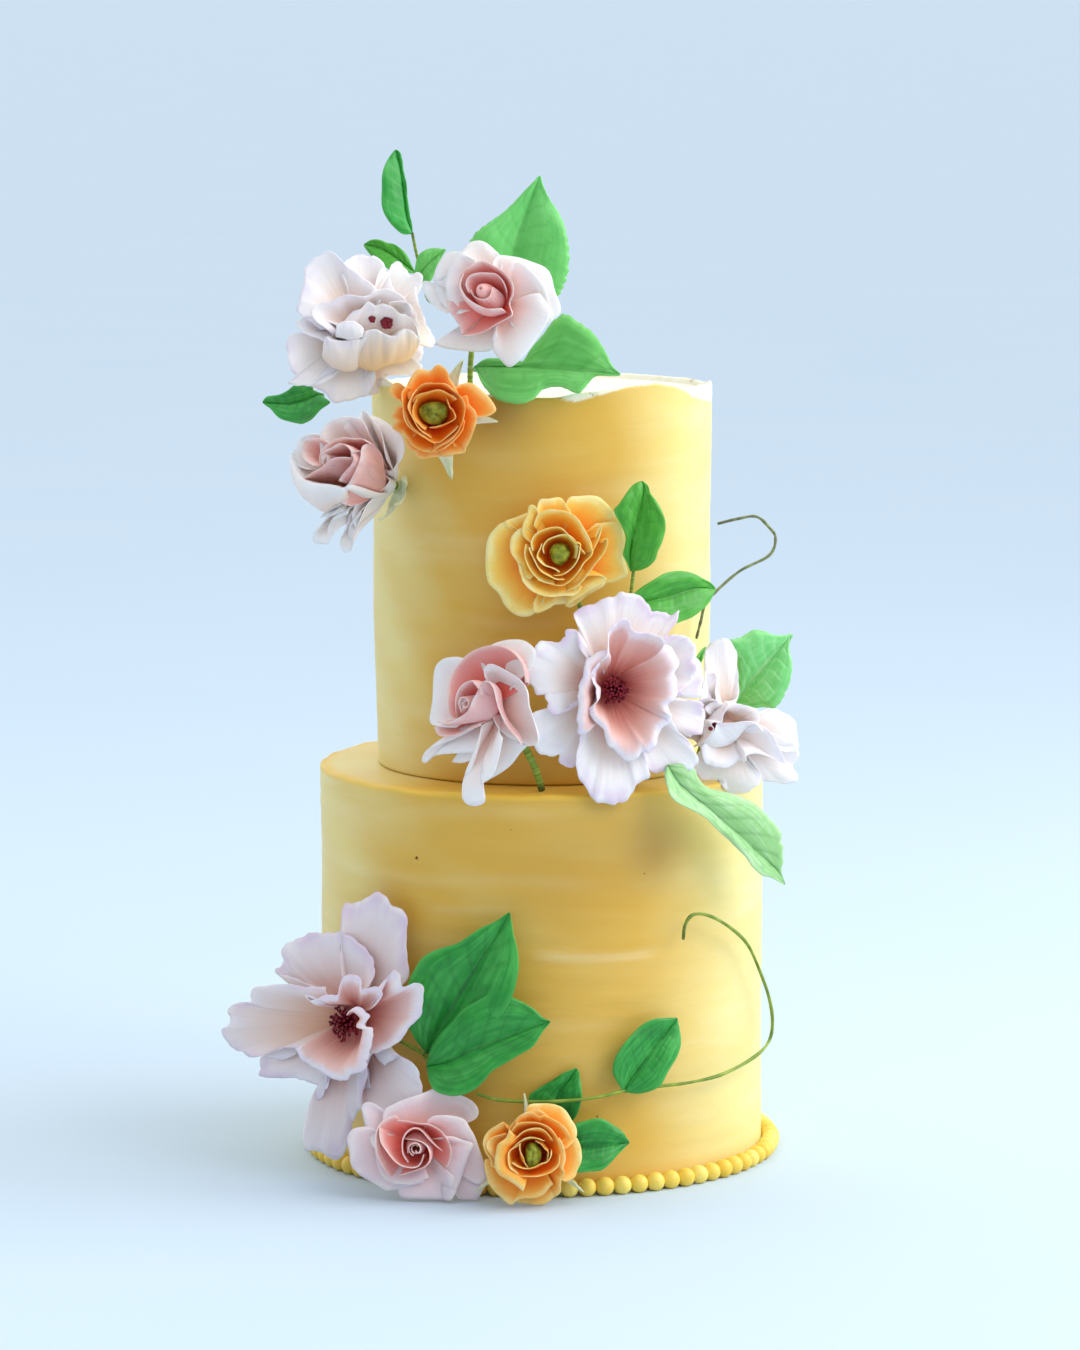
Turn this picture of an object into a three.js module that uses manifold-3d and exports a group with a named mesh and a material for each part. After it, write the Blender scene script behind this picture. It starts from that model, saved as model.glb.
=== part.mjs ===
// A wedding cake: two tall iced tiers, a border of icing pearls round the base, and three sprays of
// sugar flowers, leaves and tendrils. Millimetres, +Z up, the front faces -Y. The origin is the centre of the
// lower tier's flat underside.
import * as THREE from "three";
import { mergeVertices } from "three/addons/utils/BufferGeometryUtils.js";
import Module from "manifold-3d";

const wasm = await Module();
wasm.setup();

// Driving dimensions of the cake itself
const LOWER_RADIUS = 105;
const LOWER_HEIGHT = 186;
const UPPER_RADIUS = 80;
const UPPER_HEIGHT = 180;
const UPPER_TAPER = 2.2; // how much narrower the upper tier is at its foot
const LIP_HEIGHT = 4.5; // the torn edge of icing at its highest, above the upper tier's height
const LIP_THICKNESS = 2.4;
const PEARL_DIAMETER = 8.8;
const PEARL_COUNT = 82;
const GAP = 0.4; // air left between two pieces that touch on the real cake
const ROOM = 1.3; // air left between the cake and the flat facets of leaves and petals

const TIER_SIDES = 40;
const TOP = LOWER_HEIGHT + UPPER_HEIGHT;
const PEARL_RING_RADIUS = LOWER_RADIUS + PEARL_DIAMETER / 2 + GAP;
const PEARL_RING_OUTSIDE = PEARL_RING_RADIUS + PEARL_DIAMETER / 2;

// Sugar paste thicknesses
const PETAL_THICKNESS = 1.1;
const LEAF_THICKNESS = 1.1;

const COLOURS = {
  icing: 0xf0cf6a,
  pearl: 0xf0cf62,
  blush: 0xf3dfe2,
  peach: 0xf4a24b,
  green: 0x3f9f4c,
  stem: 0x6f8f2c,
  burgundy: 0x5a1230,
  moss: 0x8a9130,
  cream: 0xe6e2c4,
};

const root = new THREE.Group();
root.name = "wedding_cake";

const rad = THREE.MathUtils.degToRad;
const { clamp, lerp } = THREE.MathUtils;

function addPiece(name, geometry, colour, roughness, placement = new THREE.Matrix4()) {
  const material = new THREE.MeshStandardMaterial({ color: COLOURS[colour], roughness, metalness: 0 });
  const mesh = new THREE.Mesh(geometry, material);
  mesh.name = name;
  mesh.applyMatrix4(placement);
  root.add(mesh);
  return mesh;
}

// Joining closed geometries into one solid

function toSolid(geometry) {
  const bare = geometry.clone();
  bare.deleteAttribute("normal");
  bare.deleteAttribute("uv");
  const merged = mergeVertices(bare, 1e-4);
  return new wasm.Manifold(
    new wasm.Mesh({
      numProp: 3,
      vertProperties: merged.attributes.position.array,
      triVerts: new Uint32Array(merged.index.array),
    }),
  );
}

function toGeometry(solid) {
  const mesh = solid.getMesh();
  const geometry = new THREE.BufferGeometry();
  geometry.setAttribute("position", new THREE.BufferAttribute(mesh.vertProperties, 3));
  geometry.setIndex(new THREE.BufferAttribute(mesh.triVerts, 1));
  geometry.computeVertexNormals();
  return geometry;
}

function join(geometries) {
  return toGeometry(geometries.map(toSolid).reduce((whole, piece) => whole.add(piece)));
}

// A thin closed sheet round a middle surface, whose two faces are split into triangles alike. pointAt(column,
// row) gives the surface. A sheet that is joined across goes once round and meets itself.
function sheet(pointAt, thickness, acrossCells, alongCells, joined = false) {
  const columns = joined ? acrossCells : acrossCells + 1;
  const rows = alongCells + 1;
  const middle = [];
  for (let row = 0; row < rows; row++) {
    for (let column = 0; column < columns; column++) middle.push(pointAt(column, row));
  }
  const columnAt = (column) => (joined ? (column + columns) % columns : clamp(column, 0, acrossCells));
  const at = (column, row) => middle[clamp(row, 0, alongCells) * columns + columnAt(column)];
  const faces = [[], []];
  for (let row = 0; row < rows; row++) {
    for (let column = 0; column < columns; column++) {
      const sideways = at(column + 1, row).clone().sub(at(column - 1, row));
      const forward = at(column, row + 1).clone().sub(at(column, row - 1));
      const half = sideways.cross(forward).setLength(thickness / 2);
      faces[0].push(at(column, row).clone().add(half));
      faces[1].push(at(column, row).clone().sub(half));
    }
  }

  const count = columns * rows;
  const triangles = [];
  const quad = (a, b, c, d) => triangles.push(a, b, d, a, d, c);
  for (let row = 0; row < alongCells; row++) {
    for (let column = 0; column < acrossCells; column++) {
      const here = row * columns + column;
      const beside = row * columns + columnAt(column + 1);
      quad(here, beside, here + columns, beside + columns);
      quad(count + beside, count + here, count + beside + columns, count + here + columns);
    }
  }
  const wall = (here, next) => triangles.push(here, count + here, count + next, here, count + next, next);
  const last = alongCells * columns;
  for (let column = 0; column < acrossCells; column++) {
    wall(column, columnAt(column + 1));
    wall(last + columnAt(column + 1), last + column);
  }
  if (!joined) {
    for (let row = 0; row < alongCells; row++) {
      wall(row * columns + acrossCells, (row + 1) * columns + acrossCells);
      wall((row + 1) * columns, row * columns);
    }
  }
  const geometry = new THREE.BufferGeometry().setFromPoints(faces.flat());
  geometry.setIndex(triangles);
  return geometry;
}

// A round wire along a smooth curve through the points.
function wire(points, diameter, sides, steps) {
  const section = new THREE.Shape(
    Array.from({ length: sides }, (_, i) => {
      const angle = (2 * Math.PI * i) / sides;
      return new THREE.Vector2(Math.cos(angle), Math.sin(angle)).multiplyScalar(diameter / 2);
    }),
  );
  const path = new THREE.CatmullRomCurve3(points.map((p) => new THREE.Vector3(...p)));
  return new THREE.ExtrudeGeometry(section, { steps, extrudePath: path, bevelEnabled: false });
}

// A solid of revolution about Z, from [radius, height] pairs that start and end on the axis, bottom first.
function turned(profile, sides) {
  const points = profile.map(([radius, height]) => new THREE.Vector2(radius, height));
  return new THREE.LatheGeometry(points, sides).rotateX(Math.PI / 2);
}

// Tiers

// How far the torn lip stands above the tier's height at an azimuth: waves of several lengths.
function lipHeight(azimuth) {
  return 1 + 2 * Math.sin(3 * azimuth + 4.3) + Math.sin(7 * azimuth + 2.1) + 0.6 * Math.sin(13 * azimuth);
}

function lowerTier() {
  const edge = 2; // radius of the folded icing along the top edge
  const profile = [
    [0, 0],
    [LOWER_RADIUS - 0.6, 0],
    [LOWER_RADIUS, 2],
    [LOWER_RADIUS, LOWER_HEIGHT - edge],
    [LOWER_RADIUS - 0.5, LOWER_HEIGHT - 0.4],
    [LOWER_RADIUS - edge, LOWER_HEIGHT],
    [0, LOWER_HEIGHT],
  ];
  addPiece("lower_tier", turned(profile, TIER_SIDES), "icing", 0.6);
}

function upperTier() {
  const foot = LOWER_HEIGHT + GAP;
  const lipInside = UPPER_RADIUS - LIP_THICKNESS;
  const profile = [
    [0, foot],
    [UPPER_RADIUS - UPPER_TAPER, foot],
    [UPPER_RADIUS - 0.5, foot + UPPER_HEIGHT * 0.4],
    [UPPER_RADIUS, TOP - 12],
    [UPPER_RADIUS, TOP],
    [lipInside + 0.8, TOP],
    [lipInside, TOP - 3.6],
    [0, TOP - 3.6],
  ];
  const geometry = turned(profile, TIER_SIDES);
  const { position } = geometry.attributes;
  for (let i = 0; i < position.count; i++) {
    if (position.getZ(i) < TOP - 1) continue;
    position.setZ(i, TOP + lipHeight(Math.atan2(position.getY(i), position.getX(i))));
  }
  addPiece("upper_tier", geometry, "icing", 0.6);
}

// A ring of touching pearls round the base, made as one tube that swells at every pearl.
function pearlBorder() {
  const ringsPerPearl = 2;
  const sides = 4;
  const radius = PEARL_DIAMETER / 2;
  const geometry = new THREE.TorusGeometry(PEARL_RING_RADIUS, radius, sides, PEARL_COUNT * ringsPerPearl);
  const { position } = geometry.attributes;
  const waist = 0.5; // of the pearl's radius, where two meet
  const point = new THREE.Vector3();
  for (let i = 0; i < position.count; i++) {
    point.fromBufferAttribute(position, i);
    const azimuth = Math.atan2(point.y, point.x);
    const station = Math.round((azimuth / (2 * Math.PI)) * PEARL_COUNT * ringsPerPearl);
    const share = station % ringsPerPearl === 0 ? 1 : waist;
    const ringRadius = PEARL_RING_RADIUS + (Math.hypot(point.x, point.y) - PEARL_RING_RADIUS) * share;
    const height = radius + point.z * share;
    position.setXYZ(i, ringRadius * Math.cos(azimuth), ringRadius * Math.sin(azimuth), height);
  }
  addPiece("pearl_border", geometry, "pearl", 0.5);
}

// Keeping sugar work clear of the cake

// Moves a point that is nearer than the given room to the cake, its pearls or the floor out to that room.
function clearOfCake(point, room) {
  point.z = Math.max(point.z, room);
  const reach = Math.hypot(point.x, point.y);
  const pushOut = (radius, top, narrowest) => {
    const sideways = radius + room - Math.hypot(point.x, point.y);
    const upward = top + room - point.z;
    if (sideways <= 0 || upward <= 0) return;
    if (upward < sideways && reach > narrowest) {
      point.z += upward;
    } else {
      point.x *= 1 + sideways / Math.hypot(point.x, point.y);
      point.y *= 1 + sideways / Math.hypot(point.x, point.y);
    }
  };
  pushOut(PEARL_RING_OUTSIDE, PEARL_DIAMETER, LOWER_RADIUS);
  pushOut(LOWER_RADIUS, LOWER_HEIGHT, UPPER_RADIUS);
  pushOut(UPPER_RADIUS, TOP + LIP_HEIGHT, 0);
  return point;
}

// Petals. A flower's own frame has Z along its axis, X to the viewer's right and Y up.

// Where a petal's middle line has got to, from a list of how far it leans out from the axis, in degrees,
// evenly spaced from its foot to its margin.
function profileAt(lean, length, along) {
  const leanAt = (share) => {
    const place = share * (lean.length - 1);
    const before = Math.min(Math.floor(place), lean.length - 2);
    return rad(lerp(lean[before], lean[before + 1], place - before));
  };
  const steps = 16;
  const stride = (length * along) / steps;
  const profile = { out: 0, up: 0, angle: leanAt(along) };
  for (let i = 0; i < steps; i++) {
    const angle = leanAt((along * (i + 0.5)) / steps);
    profile.out += stride * Math.sin(angle);
    profile.up += stride * Math.cos(angle);
  }
  return profile;
}

// A ring of petals as one bowl whose margin is notched between them. Each petal is [turn, reach]: the way it
// points, in degrees, and how far out its margin lies. notch is how much of a petal's length is left between
// two, and shingle how far one side of each stands in front of the next.
function petalBowl({ petals, lean, base, rise = 0, notch = 0.8, shingle = 1.2, rows = 3 }, placement) {
  const stretch = profileAt(lean, 1, 1).out;
  const lengthFor = (reach) => (reach - base) / stretch;
  const stations = petals.flatMap(([turn, reach], i) => {
    const [nextTurn, nextReach] = petals[(i + 1) % petals.length];
    const gap = (((nextTurn - turn) % 360) + 360) % 360;
    const length = lengthFor(reach);
    return [
      { turn: turn - 0.2 * gap, length: 0.96 * length, lift: shingle },
      { turn: turn + 0.2 * gap, length, lift: 0.3 * shingle },
      { turn: turn + 0.5 * gap, length: notch * Math.min(length, lengthFor(nextReach)), lift: -shingle },
    ];
  });
  const pointAt = (column, row) => {
    const { turn, length, lift } = stations[column];
    const along = row / rows;
    const { out, up, angle } = profileAt(lean, length, along);
    const radial = base + out - lift * along * Math.cos(angle);
    const height = rise + up + lift * along * Math.sin(angle);
    return new THREE.Vector3(radial * Math.cos(rad(turn)), radial * Math.sin(rad(turn)), height);
  };
  return keptClear(pointAt, placement, PETAL_THICKNESS, stations.length, rows, true);
}

// Petals rolled up round the axis as one strip. Its first and last ends are each { foot, belly, rim, height }:
// three radii from bottom to top, and how high the rim stands. turns is how often it goes round.
function rolledPetals({ first, last, turns, start = 0, lobes = 3, rise = 0 }, columns, rows) {
  const pointAt = (column, row) => {
    const share = column / columns;
    const along = row / rows;
    const size = (key) => lerp(first[key], last[key], share);
    const turn = rad(start) + 2 * Math.PI * turns * share;
    const radial =
      (1 - along) ** 2 * size("foot") + 2 * along * (1 - along) * size("belly") + along ** 2 * size("rim");
    const lobe = 1 - 0.14 * Math.abs(Math.sin((lobes * turn) / 2));
    return new THREE.Vector3(
      radial * Math.cos(turn),
      radial * Math.sin(turn),
      rise + size("height") * along * lerp(1, lobe, along),
    );
  };
  return sheet(pointAt, PETAL_THICKNESS, columns, rows);
}

// A long narrow petal that hangs from the flower and ends in a small spoon.
function tonguePetal({ turn, length, width, lean, base }, placement) {
  const halfWidths = [0.55, 1, 0.8, 0.3, 0.42];
  const rows = halfWidths.length - 1;
  const pointAt = (column, row) => {
    const { out, up } = profileAt(lean, length, row / rows);
    const side = (column - 1) * (width / 2) * halfWidths[row];
    const ridge = column === 1 ? 1 : 0;
    return new THREE.Vector3(base + out + ridge, side, up).applyAxisAngle(
      new THREE.Vector3(0, 0, 1),
      rad(turn),
    );
  };
  return keptClear(pointAt, placement, PETAL_THICKNESS, 2, rows);
}

// A sheet in a flower's frame whose points are kept clear of the cake.
function keptClear(pointAt, placement, thickness, acrossCells, alongCells, joined = false) {
  const back = placement.clone().invert();
  const room = thickness / 2 + ROOM;
  const place = (column, row) =>
    clearOfCake(pointAt(column, row).applyMatrix4(placement), room).applyMatrix4(back);
  return sheet(place, thickness, acrossCells, alongCells, joined);
}

// The knob of sugar paste in the middle, that the petals are stuck to.
function knob(radius, height, sides = 7) {
  return turned(
    [
      [0, -1.5],
      [radius * 0.75, -1],
      [radius, height * 0.4],
      [radius * 0.7, height * 0.85],
      [0, height],
    ],
    sides,
  );
}

// The pointed bud in the middle of a rose, on a wider foot.
function rosebud(height) {
  return turned(
    [
      [0, -1.5],
      [3.6, -1],
      [3.4, 2.6],
      [1.8, 4],
      [2.2, height * 0.7],
      [0, height],
    ],
    6,
  );
}

// Where a flower sits and where it faces: yaw to the viewer's right and pitch up, both in degrees.
function facing([x, y, z], yaw, pitch) {
  const out = new THREE.Vector3(
    Math.sin(rad(yaw)) * Math.cos(rad(pitch)),
    -Math.cos(rad(yaw)) * Math.cos(rad(pitch)),
    Math.sin(rad(pitch)),
  );
  const right = new THREE.Vector3(0, 0, 1).cross(out).normalize();
  const up = out.clone().cross(right);
  return new THREE.Matrix4().makeBasis(right, up, out).setPosition(x, y, z);
}

function evenly(count, start, reach) {
  return Array.from({ length: count }, (_, i) => [start + (360 * i) / count, reach]);
}

// Roses: a rolled middle and a bowl of outer petals whose margins roll back.
function addRose(name, placement, size, outer, extra = []) {
  const rolled = rolledPetals(
    {
      first: { foot: 2, belly: 6 * size, rim: 3.4 * size, height: 17 * size },
      last: { foot: 6, belly: 9.5 * size, rim: 15 * size, height: 15.5 * size },
      turns: 2.1,
      start: 40,
      lobes: 3,
      rise: 2.2,
    },
    12,
    2,
  );
  const bowl = petalBowl({ base: 2.6, lean: [84, 46, 62, 112], notch: 0.86, shingle: 1.5, ...outer }, placement);
  addPiece(name, join([rosebud(14 * size), rolled, bowl, ...extra]), "blush", 0.55, placement);
}

// Ranunculus: petals rolled into a ball that is open in front, over a shallow bowl, and a green eye.
function addRanunculus(name, placement, size, outer) {
  const rolled = rolledPetals(
    {
      first: { foot: 3, belly: 14 * size, rim: 7.6 * size, height: 14 * size },
      last: { foot: 9 * size, belly: 24 * size, rim: 17 * size, height: 10 * size },
      turns: 2.05,
      lobes: 5,
      rise: 2,
    },
    15,
    2,
  );
  const bowl = petalBowl({ base: 3, lean: [90, 70, 26], notch: 0.88, rows: 2, ...outer }, placement);
  addPiece(name, join([knob(4.5, 4), rolled, bowl]), "peach", 0.55, placement);
  const foot = 4 + GAP;
  const eye = turned(
    [
      [0, foot],
      [2, foot],
      [5.4 * size, foot + 3],
      [3.8 * size, foot + 6],
      [0, foot + 6.6],
    ],
    8,
  );
  addPiece(`${name}_eye`, eye, "moss", 0.7, placement);
}

// Open peonies: a deep cup and a wide ruffled bowl behind it, with a bundle of dark stamens.
function addPeony(name, placement, cup, outer) {
  const knobHeight = 4.5;
  const inner = petalBowl({ base: 3, rise: 1, lean: [70, 22, 14, 96], shingle: 1.6, ...cup }, placement);
  const bowl = petalBowl({ base: 3, rows: 2, lean: [84, 66, 78], shingle: 2, notch: 0.76, ...outer }, placement);
  addPiece(name, join([knob(6, knobHeight), inner, bowl]), "blush", 0.55, placement);
  addStamens(`${name}_stamens`, placement, knobHeight + GAP);
}

// A bundle of stamens: a fluted tuft that spreads towards its top.
function addStamens(name, placement, foot) {
  const columns = 12;
  const tuft = turned(
    [
      [0, foot],
      [2.4, foot],
      [5.6, foot + 5],
      [5, foot + 8.5],
      [0, foot + 9.5],
    ],
    columns,
  );
  const { position } = tuft.attributes;
  for (let i = 0; i < position.count; i++) {
    const column = Math.round((Math.atan2(position.getY(i), position.getX(i)) / (2 * Math.PI)) * columns);
    const inFlute = column % 2 !== 0 && position.getZ(i) > foot + 1;
    const share = inFlute ? 0.68 : 1;
    position.setX(i, position.getX(i) * share);
    position.setY(i, position.getY(i) * share);
  }
  addPiece(name, tuft, "burgundy", 0.6, placement);
}

// The green sepals under a flower: a small cone, and narrow blades that are each [turn, length, lean].
function addCalyx(name, placement, coneRadius, depth, blades) {
  const cone = turned(
    [
      [0, -depth - 5],
      [1.6, -depth - 4.6],
      [coneRadius, -depth],
      [0, -depth + 0.4],
    ],
    5,
  );
  const sepals = blades.map(([turn, length, lean]) => {
    const halfWidths = [1.6, 2.4, 0.6];
    const pointAt = (column, row) => {
      const { out, up } = profileAt(lean, length, row / 2);
      const side = (column - 0.5) * 2 * halfWidths[row];
      const point = new THREE.Vector3(coneRadius * 0.5 + out, side, -depth - 1.4 + up);
      return point.applyAxisAngle(new THREE.Vector3(0, 0, 1), rad(turn));
    };
    return keptClear(pointAt, placement, LEAF_THICKNESS, 1, 2);
  });
  addPiece(name, join([cone, ...sepals]), "cream", 0.6, placement);
}

// Leaves

// A leaf from its stalk to its tip. face is the way its upper side looks, arch how far its middle stands out
// that way, sway how far it swings sideways, twist how far it turns over, and fold how far its halves are
// folded up along the midrib.
function leafPoint(leaf, across, along) {
  const from = new THREE.Vector3(...leaf.from);
  const to = new THREE.Vector3(...leaf.to);
  const face = new THREE.Vector3(...leaf.face).normalize();
  const chord = to.clone().sub(from).normalize();
  const side = chord.clone().cross(face).normalize();
  const up = side.clone().cross(chord);
  const hump = 4 * along * (1 - along);
  const point = from
    .clone()
    .lerp(to, along)
    .addScaledVector(up, leaf.arch * hump)
    .addScaledVector(side, (leaf.sway ?? 0) * hump);
  const twist = rad(leaf.twist ?? 0) * (along - 0.3);
  const acrossWay = side.clone().multiplyScalar(Math.cos(twist)).addScaledVector(up, Math.sin(twist));
  const half = Math.max((leaf.width / 2) * leafOutline(along), 0.6);
  const fold = rad(leaf.fold ?? 14);
  return point
    .addScaledVector(acrossWay, half * across * Math.cos(fold))
    .addScaledVector(up, half * Math.abs(across) * Math.sin(fold));
}

// Half-width of a leaf along its midrib, as a share of the widest: widest a third of the way up, then pointed.
function leafOutline(along) {
  return Math.pow(Math.sin(Math.PI * Math.pow(along, 0.74)), 0.8);
}

function addLeaf(name, leaf) {
  const acrossCells = leaf.width > 30 ? 4 : 2;
  const alongCells = leaf.width > 18 ? 5 : 4;
  const room = LEAF_THICKNESS / 2 + ROOM;
  const pointAt = (column, row) =>
    clearOfCake(leafPoint(leaf, (2 * column) / acrossCells - 1, row / alongCells), room);
  addPiece(name, sheet(pointAt, LEAF_THICKNESS, acrossCells, alongCells), "green", 0.5);
}

function addStem(name, points, diameter, steps = 5) {
  addPiece(name, wire(points, diameter, 5, steps), "stem", 0.6);
}

lowerTier();
upperTier();
pearlBorder();

// Spray at the top, over the left of the upper tier's rim

addPeony(
  "crown_peony",
  facing([-85, -20, 393], 12, 6),
  { petals: evenly(5, 20, 15), lean: [70, 6, -14, 40], rows: 2 },
  {
    petals: [
      [18, 33],
      [68, 37],
      [118, 39],
      [165, 37],
      [212, 42],
      [262, 36],
      [318, 31],
    ],
    lean: [84, 60, 74],
  },
);

addRose("crown_rose", facing([-20.5, -67, 408], -14, 12), 1, {
  petals: [
    [-140, 35],
    [-72, 34],
    [-5, 34],
    [45, 33],
    [100, 30],
    [165, 30],
  ],
});

const crownRanunculus = facing([-49, -85, 359], -6, 0);
addRanunculus("crown_ranunculus", crownRanunculus, 1, { petals: evenly(6, 10, 23.5) });
addCalyx("crown_ranunculus_calyx", crownRanunculus, 3, 2, [
  [-8, 29, [96, 88]],
  [-76, 31, [94, 84]],
  [150, 20, [96, 92]],
]);

const crownRosebud = facing([-74, -60, 323], -48, 20);
addRose(
  "crown_rosebud",
  crownRosebud,
  0.9,
  {
    petals: [
      [10, 24],
      [70, 29],
      [130, 26],
      [190, 25],
      [250, 25],
      [310, 26],
    ],
    lean: [84, 36, 6, 48],
  },
  [
    tonguePetal({ turn: -96, length: 42, width: 15, lean: [70, 20, 44, 100], base: 6 }, crownRosebud),
    tonguePetal({ turn: -70, length: 47, width: 15, lean: [70, 24, 50, 100], base: 6 }, crownRosebud),
  ],
);
addCalyx("crown_rosebud_calyx", crownRosebud, 3.2, 3.4, [
  [-70, 18, [88, 66]],
  [70, 17, [88, 66]],
  [0, 15, [88, 70]],
]);

addLeaf("crown_leaf_tall", {
  from: [-60.5, -10, 436],
  to: [-67.5, -8, 475.5],
  face: [0.5, -1, 0],
  width: 14,
  arch: 1,
  sway: -2.5,
});
addLeaf("crown_leaf_back", { from: [-57, 0, 420], to: [-84, 2, 434], face: [0, -1, 0.5], width: 13, arch: 3 });
addLeaf("crown_leaf_small", { from: [-52, -14, 407], to: [-43, -8, 430], face: [0, -1, 0.2], width: 17, arch: 1 });
addLeaf("crown_leaf_large", {
  from: [-6, -16, 404],
  to: [0, -12, 463.5],
  face: [0, -1, 0.1],
  width: 46,
  arch: 2,
  sway: -4,
});
addLeaf("crown_leaf_front", {
  from: [-30, -69, 377],
  to: [37, -89, 376],
  face: [0, -1, 0.3],
  width: 42,
  arch: 3,
  sway: -4,
});
addLeaf("crown_leaf_left", { from: [-98, -12, 360], to: [-131, -22, 359], face: [0, -1, 0.4], width: 18, arch: 2 });
addStem("crown_leaf_tall_stem", [[-60.4, -9.6, 434.4], [-58, -9, 426], [-55, -9, 415]], 1.4);
addStem("crown_rose_stem", [[-30, -56, 400], [-32, -55, 388], [-33, -54, 376], [-33, -54, 363.4]], 2.6);

// Spray in the middle, standing on the lower tier's ledge

addRanunculus("middle_ranunculus", facing([7, -88, 295], 3, 2), 1.12, {
  petals: [
    [25, 29],
    [80, 29],
    [135, 32],
    [190, 36],
    [245, 35],
    [305, 31],
  ],
  lean: [90, 78, 40],
});

const middleRose = facing([-21, -96, 226], -40, 8);
addRose(
  "middle_rose",
  middleRose,
  1,
  {
    petals: [
      [20, 33],
      [75, 33],
      [125, 30],
      [185, 27],
      [240, 27],
      [300, 33],
    ],
    lean: [84, 48, 50, 100],
  },
  [
    tonguePetal({ turn: -138, length: 39, width: 20, lean: [84, 46, 50, 66], base: 6 }, middleRose),
    tonguePetal({ turn: -82, length: 47, width: 22, lean: [84, 56, 64, 74], base: 6 }, middleRose),
  ],
);

addPeony(
  "middle_peony",
  facing([31, -92, 234], 12, 0),
  {
    petals: [
      [15, 24],
      [85, 31],
      [150, 21],
      [215, 22],
      [285, 30],
    ],
  },
  {
    petals: [
      [0, 48],
      [42, 48],
      [84, 49],
      [155, 42],
      [212, 46],
      [264, 55],
      [322, 48],
    ],
  },
);

addPeony(
  "side_peony",
  facing([84, -60, 211], 40, -2),
  { petals: evenly(5, 45, 14), lean: [70, 6, -14, 40], rows: 2 },
  {
    petals: [
      [-130, 30],
      [-80, 38],
      [-34, 43],
      [4, 41],
      [46, 35],
      [96, 42],
      [160, 26],
    ],
    lean: [84, 62, 76],
  },
);

addLeaf("middle_leaf_upright", {
  from: [42, -92, 286],
  to: [46, -88, 328],
  face: [0.2, -1, 0.1],
  width: 24,
  arch: 3,
  sway: 1,
});
addLeaf("middle_leaf_right", {
  from: [44, -88, 273],
  to: [80, -64, 276],
  face: [0.5, -1, 0.2],
  width: 24,
  arch: 3,
  sway: 2,
});
addLeaf("middle_leaf_side", { from: [91, -24, 222], to: [118, -20, 252], face: [0.2, -1, 0], width: 34, arch: 2 });
addLeaf("middle_leaf_small", { from: [71, -50, 238], to: [74, -44, 249], face: [0, -1, 0.2], width: 9, arch: 1 });
addLeaf("middle_leaf_hanging", {
  from: [60, -98, 194],
  to: [113, -68, 138],
  face: [0.75, -1, 0.5],
  width: 27,
  arch: 5,
  sway: -5,
  twist: 15,
});
addStem("middle_ranunculus_stem", [[14, -87, 283], [18, -87, 268], [20, -88, 256]], 2.4);
addStem("middle_leaf_upright_stem", [[41.8, -91.8, 284.6], [40, -90, 276], [39, -88, 266]], 1.6);
addStem("middle_rose_stem", [[-9, -96, 214], [-7.5, -98, 207], [-3, -96, 197], [0, -93, 186.6]], 3.4);

// The tendril that curls up beside the upper tier.
addPiece(
  "middle_tendril",
  wire(
    [
      [72, -42, 250],
      [74, -42, 258],
      [76, -42, 266],
      [80, -42, 271],
      [92, -38, 281],
      [106, -34, 288],
      [109, -33, 296],
      [106, -32, 301],
      [100, -32, 306],
      [91, -33, 305],
      [82, -35, 303],
    ],
    1.4,
    4,
    18,
  ),
  "stem",
  0.6,
);

// Spray at the base, to the left

addPeony(
  "base_peony",
  facing([-86, -77, 76], -36, 2),
  {
    petals: [
      [10, 26],
      [80, 30],
      [150, 24],
      [215, 24],
      [290, 30],
    ],
  },
  {
    petals: [
      [20, 44],
      [64, 66],
      [98, 54],
      [146, 49],
      [183, 62],
      [222, 50],
      [264, 64],
      [318, 44],
    ],
    lean: [84, 64, 70],
  },
);

addRose("base_rose", facing([-57, -113, 26], -5, 12), 1.02, {
  petals: [
    [20, 31],
    [75, 30],
    [130, 29],
    [188, 31],
    [250, 27],
    [310, 31],
  ],
});

const baseRanunculus = facing([-4, -125, 25], 4, 6);
addRanunculus("base_ranunculus", baseRanunculus, 0.98, {
  petals: [
    [20, 26],
    [75, 25],
    [130, 23],
    [190, 23],
    [245, 24],
    [305, 24],
  ],
});
addCalyx("base_ranunculus_calyx", baseRanunculus, 3, 2, [
  [215, 31, [94, 84]],
  [320, 29, [94, 84]],
  [98, 25, [94, 88]],
]);

addLeaf("base_leaf_upper", {
  from: [-51, -101, 66],
  to: [-15, -113, 132.5],
  face: [-0.2, -1, 0.1],
  width: 42,
  arch: 2,
  sway: -2,
});
addLeaf("base_leaf_lower", {
  from: [-49, -111, 52],
  to: [4, -121, 84],
  face: [-0.1, -1, 0.3],
  width: 38,
  arch: 3,
  sway: -2,
});
addLeaf("base_leaf_vine", { from: [12, -107, 36], to: [16, -108, 60], face: [0, -1, 0], width: 22, arch: 0 });
addLeaf("base_leaf_right", { from: [16, -118, 24], to: [41, -113, 27], face: [0.1, -1, 0.3], width: 26, arch: 2 });
addLeaf("base_leaf_tendril", { from: [36, -106, 50], to: [62, -95, 80], face: [0.4, -1, 0.1], width: 22, arch: 2 });
addStem("base_spray_stem", [[-66, -93, 70], [-60, -97, 67.5], [-53, -99, 64]], 2);

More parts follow.
